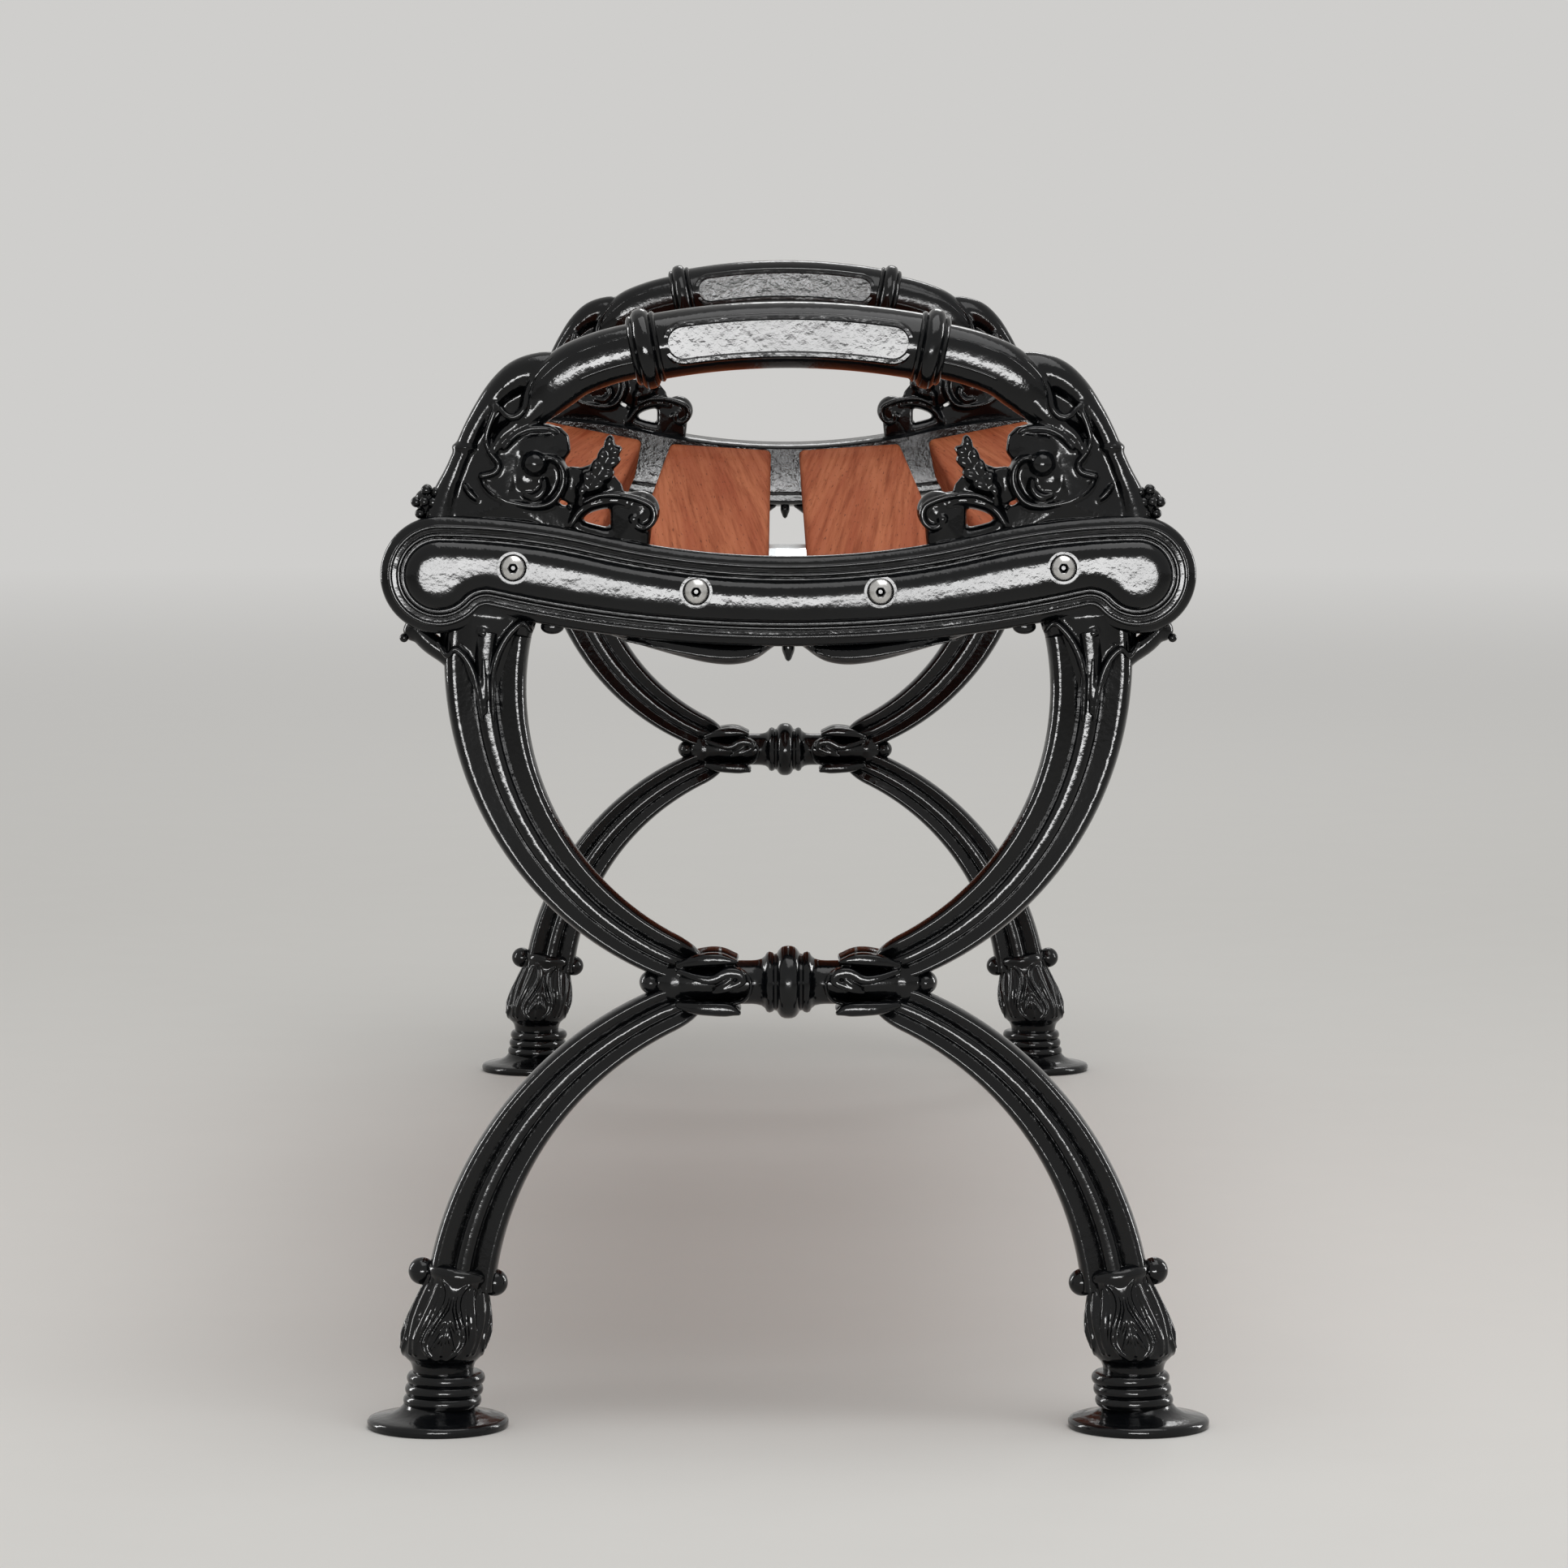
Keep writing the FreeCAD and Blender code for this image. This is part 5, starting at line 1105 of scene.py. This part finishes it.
class BENCH_OT_links(bpy.types.Operator):
    """Model the turned links between the legs with their curling petals"""
    bl_idname = "bench.links"
    bl_label = "Links"

    def execute(self, context):
        profile = [(-x, radius) for x, radius in LINK_PROFILE[:0:-1]] + list(LINK_PROFILE)
        turned = lathe(profile, (0.0, 0.0, LINK_HEIGHT), (1.0, 0.0, 0.0), 72)
        stand("turned_link", smooth(solid([turned])), paint())
        stand("link_calyx", fused(pairs(calyx()), mm(sizes().fine_cell), softening=2), paint())
        return {"FINISHED"}


# The foot's disc: height, and how far the surface lies inside the disc's edge. Then the neck above it:
# height and radius.
DISC_PROFILE = ((0.0, 1.6), (0.7, 0.4), (2.0, 0.0), (3.6, 0.0), (4.8, 0.8), (5.5, 2.6), (6.3, 7.5),
                (7.6, 12.6))
DISC_NECK = ((9.4, 20.6), (11.4, 18.6), (14.0, 17.0))
RING_COUNT = 3
RING_PITCH = 5.9
RING_BASE = 11.4
RING_RADIUS = 20.5
RING_CORE = 12.0
RING_OVERLAP = 1.15


def foot_axis(z):
    """Place of the foot's leaning axis at a height."""
    lean = (FOOT_X - FOOT_COLLAR[0]) / FOOT_COLLAR[1]
    return FOOT_X - lean * z, 0.0, z


def foot_stack():
    """Disc and rings of the foot, each level, set along the leaning axis."""
    disc = mm(sizes().disc)
    profile = [(z, disc - inside) for z, inside in DISC_PROFILE] + list(DISC_NECK)
    parts = [lathe(profile, (FOOT_X, 0.0, 0.0), UP, 96)]
    turn = np.linspace(-math.pi / 2, math.pi / 2, 13)
    half = RING_PITCH / 2
    edge = half * RING_OVERLAP
    ring = [(edge * math.sin(a), RING_RADIUS - half + half * math.cos(a)) for a in turn]
    for index in range(RING_COUNT):
        middle = foot_axis(RING_BASE + RING_PITCH * (index + 0.5))
        parts.append(lathe([(-edge, RING_CORE), *ring, (edge, RING_CORE)], middle, UP, 72))
    return parts


# Collar and bell of the foot: distance down from the collar's middle, and radius.
BELL_PROFILE = ((-6.4, 13.4), (-5.2, 15.8), (-3.6, 17.2), (-1.0, 17.4), (0.8, 16.4), (3.0, 15.8), (6.0, 16.2),
                (10.0, 17.2), (16.0, 19.2), (22.0, 20.8), (28.0, 21.9), (33.0, 22.3), (37.0, 22.0),
                (40.0, 21.0), (42.4, 19.4), (44.4, 17.4), (47.0, 16.2), (51.0, 15.8), (57.0, 16.0))
BELL_TOP = (FOOT_COLLAR[0] + 2.2, FOOT_COLLAR[1] - 0.6)
# The bell leans outwards down to where its neck stands upright, and its collar's tilt fades out above that.
BELL_LEAN = 0.214
UPRIGHT_REACH = 38.0
COLLAR_TILT = 0.16
LEVEL_REACH = 22.0
BALL_REACH = 18.8
LEAF_COUNT = 4
# Lines of a leaf on the bell: distance down the bell and turn from the leaf's middle.
LEAF_EDGE = ((0.5, 0.46), (5.0, 0.24), (11.0, 0.17), (18.0, 0.26), (25.0, 0.4), (32.0, 0.46), (37.0, 0.36),
             (41.0, 0.12))
LEAF_RIB = ((9.0, 0.0), (19.0, 0.0), (29.0, 0.0), (38.0, 0.0))
LEAF_VEINS = (((15.0, 0.03), (21.0, 0.12), (28.0, 0.28)), ((23.0, 0.03), (29.0, 0.12), (35.0, 0.26)))
# Rolls between the leaves, in the same measures.
LOBE_RIDGES = (((4.0, 0.58), (11.0, 0.57), (20.0, 0.62), (30.0, 0.7), (38.0, 0.7)),
               ((4.0, 0.99), (11.0, 1.0), (20.0, 0.95), (30.0, 0.87), (38.0, 0.87)))
# Half width and half depth of the raised lines.
RIB_SIZE, VEIN_SIZE, ROLL_SIZE = (1.2, 2.0), (1.3, 2.1), (2.6, 2.4)
LINE_END = 0.25


def on_bell(reach, radius, turn):
    """A point round the foot's bell, whose collar tilts with the leg and whose mouth is level."""
    across = radius * math.cos(turn)
    tilt = COLLAR_TILT * min(1.0, max(0.0, 1.0 - reach / LEVEL_REACH))
    x = BELL_TOP[0] + BELL_LEAN * min(reach, UPRIGHT_REACH) + across
    return x, -radius * math.sin(turn), BELL_TOP[1] - reach + tilt * across


def foot_bell():
    """Leaning bell of the foot under the leg's collar, with a veined leaf on each side and rolls between."""
    profile = spline(BELL_PROFILE, 4)
    around = full_turn(72)

    def line(middle, places, size):
        """A raised line on the bell, drawn in at both ends."""
        shares = np.sin(np.linspace(LINE_END, math.pi - LINE_END, len(places))) ** 0.5
        rows = []
        for (reach, turn), share in zip(places, shares):
            radius = np.interp(reach, profile[:, 0], profile[:, 1])
            rows.append((*on_bell(reach, radius, middle + turn), size[0] * share, size[1] * share))
        facing = middle + places[len(places) // 2][1]
        return stem(rows, outward=(math.cos(facing), -math.sin(facing), 0.0), sides=14)

    rings = [[on_bell(reach, radius, turn) for turn in around] for reach, radius in profile]
    parts = [skin_of(np.array(rings))]
    for index in range(LEAF_COUNT):
        middle = math.pi / 2 + 2 * math.pi * index / LEAF_COUNT
        parts.append(line(middle, LEAF_RIB, RIB_SIZE))
        for side in (-1, 1):
            for places in (LEAF_EDGE, *LEAF_VEINS):
                parts.append(line(middle, [(reach, side * turn) for reach, turn in places], VEIN_SIZE))
        parts += [line(middle, places, ROLL_SIZE) for places in LOBE_RIDGES]
    return parts


def foot_balls():
    """Places of the balls at the two ends of the foot's tilted collar."""
    places = [on_bell(0.0, BALL_REACH, turn) for turn in (0.0, math.pi)]
    return [(hand * x, y, z, mm(sizes().ball)) for x, y, z in places for hand in (1, -1)]


class BENCH_OT_feet(bpy.types.Operator):
    """Model the turned feet with their leaf bells and balls"""
    bl_idname = "bench.feet"
    bl_label = "Feet"

    def execute(self, context):
        stand("foot_discs", smooth(solid(pairs(foot_stack()))), paint())
        stand("foot_bells", fused(pairs(foot_bell()), mm(sizes().fine_cell), softening=3), paint())
        stand("foot_balls", grown(dots(foot_balls()), ball_tree(paint()), {"Size": 1.0}), paint())
        return {"FINISHED"}


# A button-head screw: distance out from its seat and radius of the shank, then distance out and how far
# the surface lies inside the head's edge.
SHANK_PROFILE = ((-60.0, 3.0), (-59.0, 4.0), (0.0, 4.0))
HEAD_PROFILE = ((0.0, 0.3), (0.3, 0.0), (1.1, 0.0), (1.7, 0.25), (2.7, 1.2), (3.6, 2.5), (4.2, 3.6),
                (4.4, 4.3), (4.25, 4.55))
SOCKET_FLATS, SOCKET_FLOOR, SOCKET_MOUTH = 5.0, -1.6, -9.0
DRILL_PROFILE = ((-2.4, 0.15), (0.6, 2.4), (3.0, 2.4))
DRILL_PLACE = (0.0, -1.2, 0.0)
# How far round the screw's axis, and along it, the painted socket shade reaches.
SOCKET_REACH = 3.1
SOCKET_RIM = -4.0
SCREW_CREASE = 30.0


def button_screw():
    """A button-head socket screw along y, its head outwards, about the middle of its seat."""
    head = mm(sizes().screw_head)
    profile = list(SHANK_PROFILE) + [(out, head - inside) for out, inside in HEAD_PROFILE]
    turned = lathe(profile, (0.0, 0.0, 0.0), FRONT, 48)
    reach = SOCKET_FLATS / 2 / math.cos(math.pi / 6)
    corners = [(reach * math.cos(math.pi / 3 * i), reach * math.sin(math.pi / 3 * i)) for i in range(6)]
    drill = lathe(DRILL_PROFILE, DRILL_PLACE, FRONT, 24)
    return cut_by(cut_by(solid([turned]), [slab(corners, SOCKET_FLOOR, SOCKET_MOUTH)]), [drill])


def mark_painted_socket_shade(mesh, places):
    """Marks each point of the screws that lies in a socket, where the steel takes painted shade in place of
    the recess's shadow.
    """
    points = np.array([point.co for point in mesh.vertices])
    deep = np.zeros(len(points))
    for x, y, z, _ in places:
        reach = np.hypot(points[:, 0] - x, points[:, 2] - z)
        level = points[:, 1] - y
        deep[(reach < SOCKET_REACH) & (level > SOCKET_RIM) & (level < -SOCKET_RIM)] = 1.0
    mark = mesh.attributes.new("socket", "FLOAT", "POINT")
    mark.data.foreach_set("value", deep)
    return mesh


class BENCH_OT_screws(bpy.types.Operator):
    """Model the eight button-head screws that hold the slats"""
    bl_idname = "bench.screws"
    bl_label = "Screws"

    def execute(self, context):
        steel = bright_steel("stainless_steel_screws", colours().steel, 1.2, 0.2, 0.34)
        screw = linked("screw_pattern", smooth(button_screw(), SCREW_CREASE))
        places = [(x, SCREW_SEAT_Y, z, 1.0) for x, z in screw_middles()]
        mesh = grown(dots(places), screw_tree(steel), {"Screw": screw})
        bpy.data.objects.remove(screw)
        stand("button_screws", mark_painted_socket_shade(mesh, places), steel, "frame_screws")
        return {"FINISHED"}


def dress(node, material):
    """Gives a CAD node that stays in view its finish."""
    for slot in frame["nodes"][node].material_slots:
        slot.material = material


class BENCH_OT_slats(bpy.types.Operator):
    """Give the seat slats their oiled hardwood"""
    bl_idname = "bench.slats"
    bl_label = "Slats"

    def execute(self, context):
        for index in range(SLAT_COUNT):
            dress("seat_slat_%d" % (index + 1), hardwood(index))
        return {"FINISHED"}


class BENCH_OT_hardware(bpy.types.Operator):
    """Give the cross bar, its screws and the barrel nuts their metal"""
    bl_idname = "bench.hardware"
    bl_label = "Hardware"

    def execute(self, context):
        dress("centre_bar", galvanised_steel())
        steel = bright_steel("stainless_steel_wood_screws", colours().steel, 1.2, 0.22, 0.36)
        dress("centre_bar_screws", steel)
        zinc = bright_steel("zinc_plated_steel", colours().zinc, 2.0, 0.3, 0.45)
        dress("barrel_nuts_near", zinc)
        dress("barrel_nuts_far", zinc)
        return {"FINISHED"}


FLOOR_RADIUS = 30.0
# The floor starts to fade into the backdrop at the first distance and has gone at the second.
FLOOR_FADE = (1.8, 7.0)
FLOOR_SPECKLE, FLOOR_SHADE = 60.0, "#DEDDDA"
# Level of the surroundings as a light, beside their full level as they are seen.
BACKDROP_LIGHT = 0.72
# The camera's fit to the photograph.
PHOTO_SIDE = 1932
FOCAL_PIXELS = 8581.0
SENSOR = 36.0
CAMERA_PLACE = (-0.006, -4.319, 0.663)
CAMERA_PITCH = math.radians(5.153)
CAMERA_YAW = math.radians(-0.06)


def floor():
    """A pale matt floor, wide enough for any view, that fades into the backdrop far from the bench."""
    mesh = bpy.data.meshes.new("studio_floor")
    turn = full_turn(96)
    mesh.from_pydata([(FLOOR_RADIUS * math.cos(a), FLOOR_RADIUS * math.sin(a), 0.0) for a in turn], [],
                     [tuple(range(len(turn)))])
    material, tree, coords = new_material("pale_matt_floor")
    speckle = add(tree, "ShaderNodeTexNoise", {"Vector": coords, "Scale": per_metre(FLOOR_SPECKLE),
                                               "Detail": 3.0}).outputs["Fac"]
    dusty = add(tree, "ShaderNodeMapRange", {0: speckle, 1: 0.35, 2: 0.65, 4: 0.06}).outputs["Result"]
    tone = add(tree, "ShaderNodeMix", {0: dusty, 6: rgba(colours().floor), 7: rgba(hex_colour(FLOOR_SHADE))},
               data_type="RGBA").outputs[2]
    matt = add(tree, "ShaderNodeBsdfPrincipled", {"Base Color": tone, "Roughness": 0.8,
                                                  "Specular IOR Level": 0.0})
    away = add(tree, "ShaderNodeVectorMath", {0: coords}, operation="LENGTH").outputs["Value"]
    fade = add(tree, "ShaderNodeMapRange", {0: away, 1: FLOOR_FADE[0], 2: FLOOR_FADE[1]}).outputs["Result"]
    direct = add(tree, "ShaderNodeLightPath").outputs["Is Camera Ray"]
    seen = add(tree, "ShaderNodeMath", {0: fade, 1: direct}, operation="MULTIPLY").outputs["Value"]
    glow = add(tree, "ShaderNodeEmission", {"Color": rgba(colours().backdrop), "Strength": 1.0})
    faded = add(tree, "ShaderNodeMixShader", {0: seen, 1: matt.outputs["BSDF"], 2: glow.outputs["Emission"]})
    add(tree, "ShaderNodeOutputMaterial", {"Surface": faded.outputs["Shader"]})
    mesh.materials.append(material)
    linked("studio_floor", mesh)


# Lamps: name, place, the point it faces, width and height in metres, watts, and whether it lights matt
# surfaces too. One that doesn't shows only in shiny ones, so the floor near it stays at a plain level.
LAMPS = (
    ("front_box", (0.0, -4.7, 0.32), (0.0, 0.0, 0.32), 2.0, 0.6, 112.0, False),
    ("top_box", (0.3, -0.9, 2.4), (0.0, -0.2, 0.3), 1.6, 2.0, 25.0, True),
    ("left_strip", (-2.4, 0.45, 0.9), (0.0, -0.3, 0.3), 0.3, 1.6, 32.0, False),
    ("right_strip", (2.4, 0.45, 0.9), (0.0, -0.3, 0.3), 0.3, 1.6, 32.0, False),
    ("back_box", (0.4, 3.6, 2.6), (0.0, 0.0, 0.4), 1.2, 0.9, 14.0, True),
)


def softbox(name, place, target, width, height, power, lights_matt):
    """A rectangular lamp that faces a point."""
    lamp = bpy.data.lights.new(name, "AREA")
    lamp.shape = "RECTANGLE"
    lamp.size, lamp.size_y, lamp.energy = width, height, power
    thing = bpy.data.objects.new(name, lamp)
    thing.location = place
    thing.rotation_euler = (Vector(target) - Vector(place)).to_track_quat("-Z", "Y").to_euler()
    thing.visible_diffuse = lights_matt
    bpy.context.scene.collection.objects.link(thing)


def backdrop():
    """Pale surroundings at full level where they are seen, and at a softer one where they give light."""
    world = bpy.data.worlds.new("studio")
    world.use_nodes = True
    tree = world.node_tree
    tree.nodes.clear()
    path = add(tree, "ShaderNodeLightPath")
    seen = path.outputs["Is Camera Ray"]
    for kind in ("Is Glossy Ray", "Is Transmission Ray"):
        either = add(tree, "ShaderNodeMath", {0: seen, 1: path.outputs[kind]}, operation="MAXIMUM")
        seen = either.outputs["Value"]
    strength = add(tree, "ShaderNodeMapRange", {0: seen, 3: BACKDROP_LIGHT, 4: 1.0}).outputs["Result"]
    light = add(tree, "ShaderNodeBackground", {"Color": rgba(colours().backdrop), "Strength": strength})
    add(tree, "ShaderNodeOutputWorld", {"Surface": light.outputs["Background"]})
    bpy.context.scene.world = world


def camera():
    """The photograph's view along the bench."""
    lens = bpy.data.cameras.new("photo_view")
    lens.sensor_width = SENSOR
    lens.lens = FOCAL_PIXELS / PHOTO_SIDE * SENSOR
    view = bpy.data.objects.new("photo_view", lens)
    view.location = CAMERA_PLACE
    view.rotation_euler = (math.pi / 2 - CAMERA_PITCH, 0.0, CAMERA_YAW)
    bpy.context.scene.collection.objects.link(view)
    bpy.context.scene.camera = view


class BENCH_OT_stage(bpy.types.Operator):
    """Set the pale floor, the soft lamps, the backdrop and the camera"""
    bl_idname = "bench.stage"
    bl_label = "Stage"

    def execute(self, context):
        floor()
        backdrop()
        for lamp in LAMPS:
            softbox(*lamp)
        camera()
        context.scene.view_settings.view_transform = "Standard"
        return {"FINISHED"}


STEPS = (BENCH_OT_seat_rails, BENCH_OT_arms, BENCH_OT_scrolls, BENCH_OT_legs, BENCH_OT_links, BENCH_OT_feet,
         BENCH_OT_screws, BENCH_OT_slats, BENCH_OT_hardware, BENCH_OT_stage)


class BENCH_PT_panel(bpy.types.Panel):
    """Sizes, colours and building steps of the bench"""
    bl_idname = "BENCH_PT_panel"
    bl_label = "Scroll-arm bench"
    bl_space_type = "VIEW_3D"
    bl_region_type = "UI"
    bl_category = "Bench"

    def draw(self, context):
        for group in (context.scene.bench_sizes, context.scene.bench_colours):
            box = self.layout.box()
            for name in group.__annotations__:
                box.prop(group, name)
        for step in STEPS:
            self.layout.operator(step.bl_idname)


CLASSES = (BenchSizes, BenchColours, *STEPS, BENCH_PT_panel)


def register():
    """Adds the bench's classes and properties."""
    for cls in CLASSES:
        bpy.utils.register_class(cls)
    bpy.types.Scene.bench_sizes = PointerProperty(type=BenchSizes)
    bpy.types.Scene.bench_colours = PointerProperty(type=BenchColours)


def unregister():
    """Takes the bench's classes and properties out again."""
    del bpy.types.Scene.bench_colours
    del bpy.types.Scene.bench_sizes
    for cls in reversed(CLASSES):
        bpy.utils.unregister_class(cls)


def main():
    """Registers the add-on and builds the bench in order."""
    register()
    for step in STEPS:
        group, name = step.bl_idname.split(".")
        getattr(getattr(bpy.ops, group), name)()


if __name__ == "__main__":
    main()
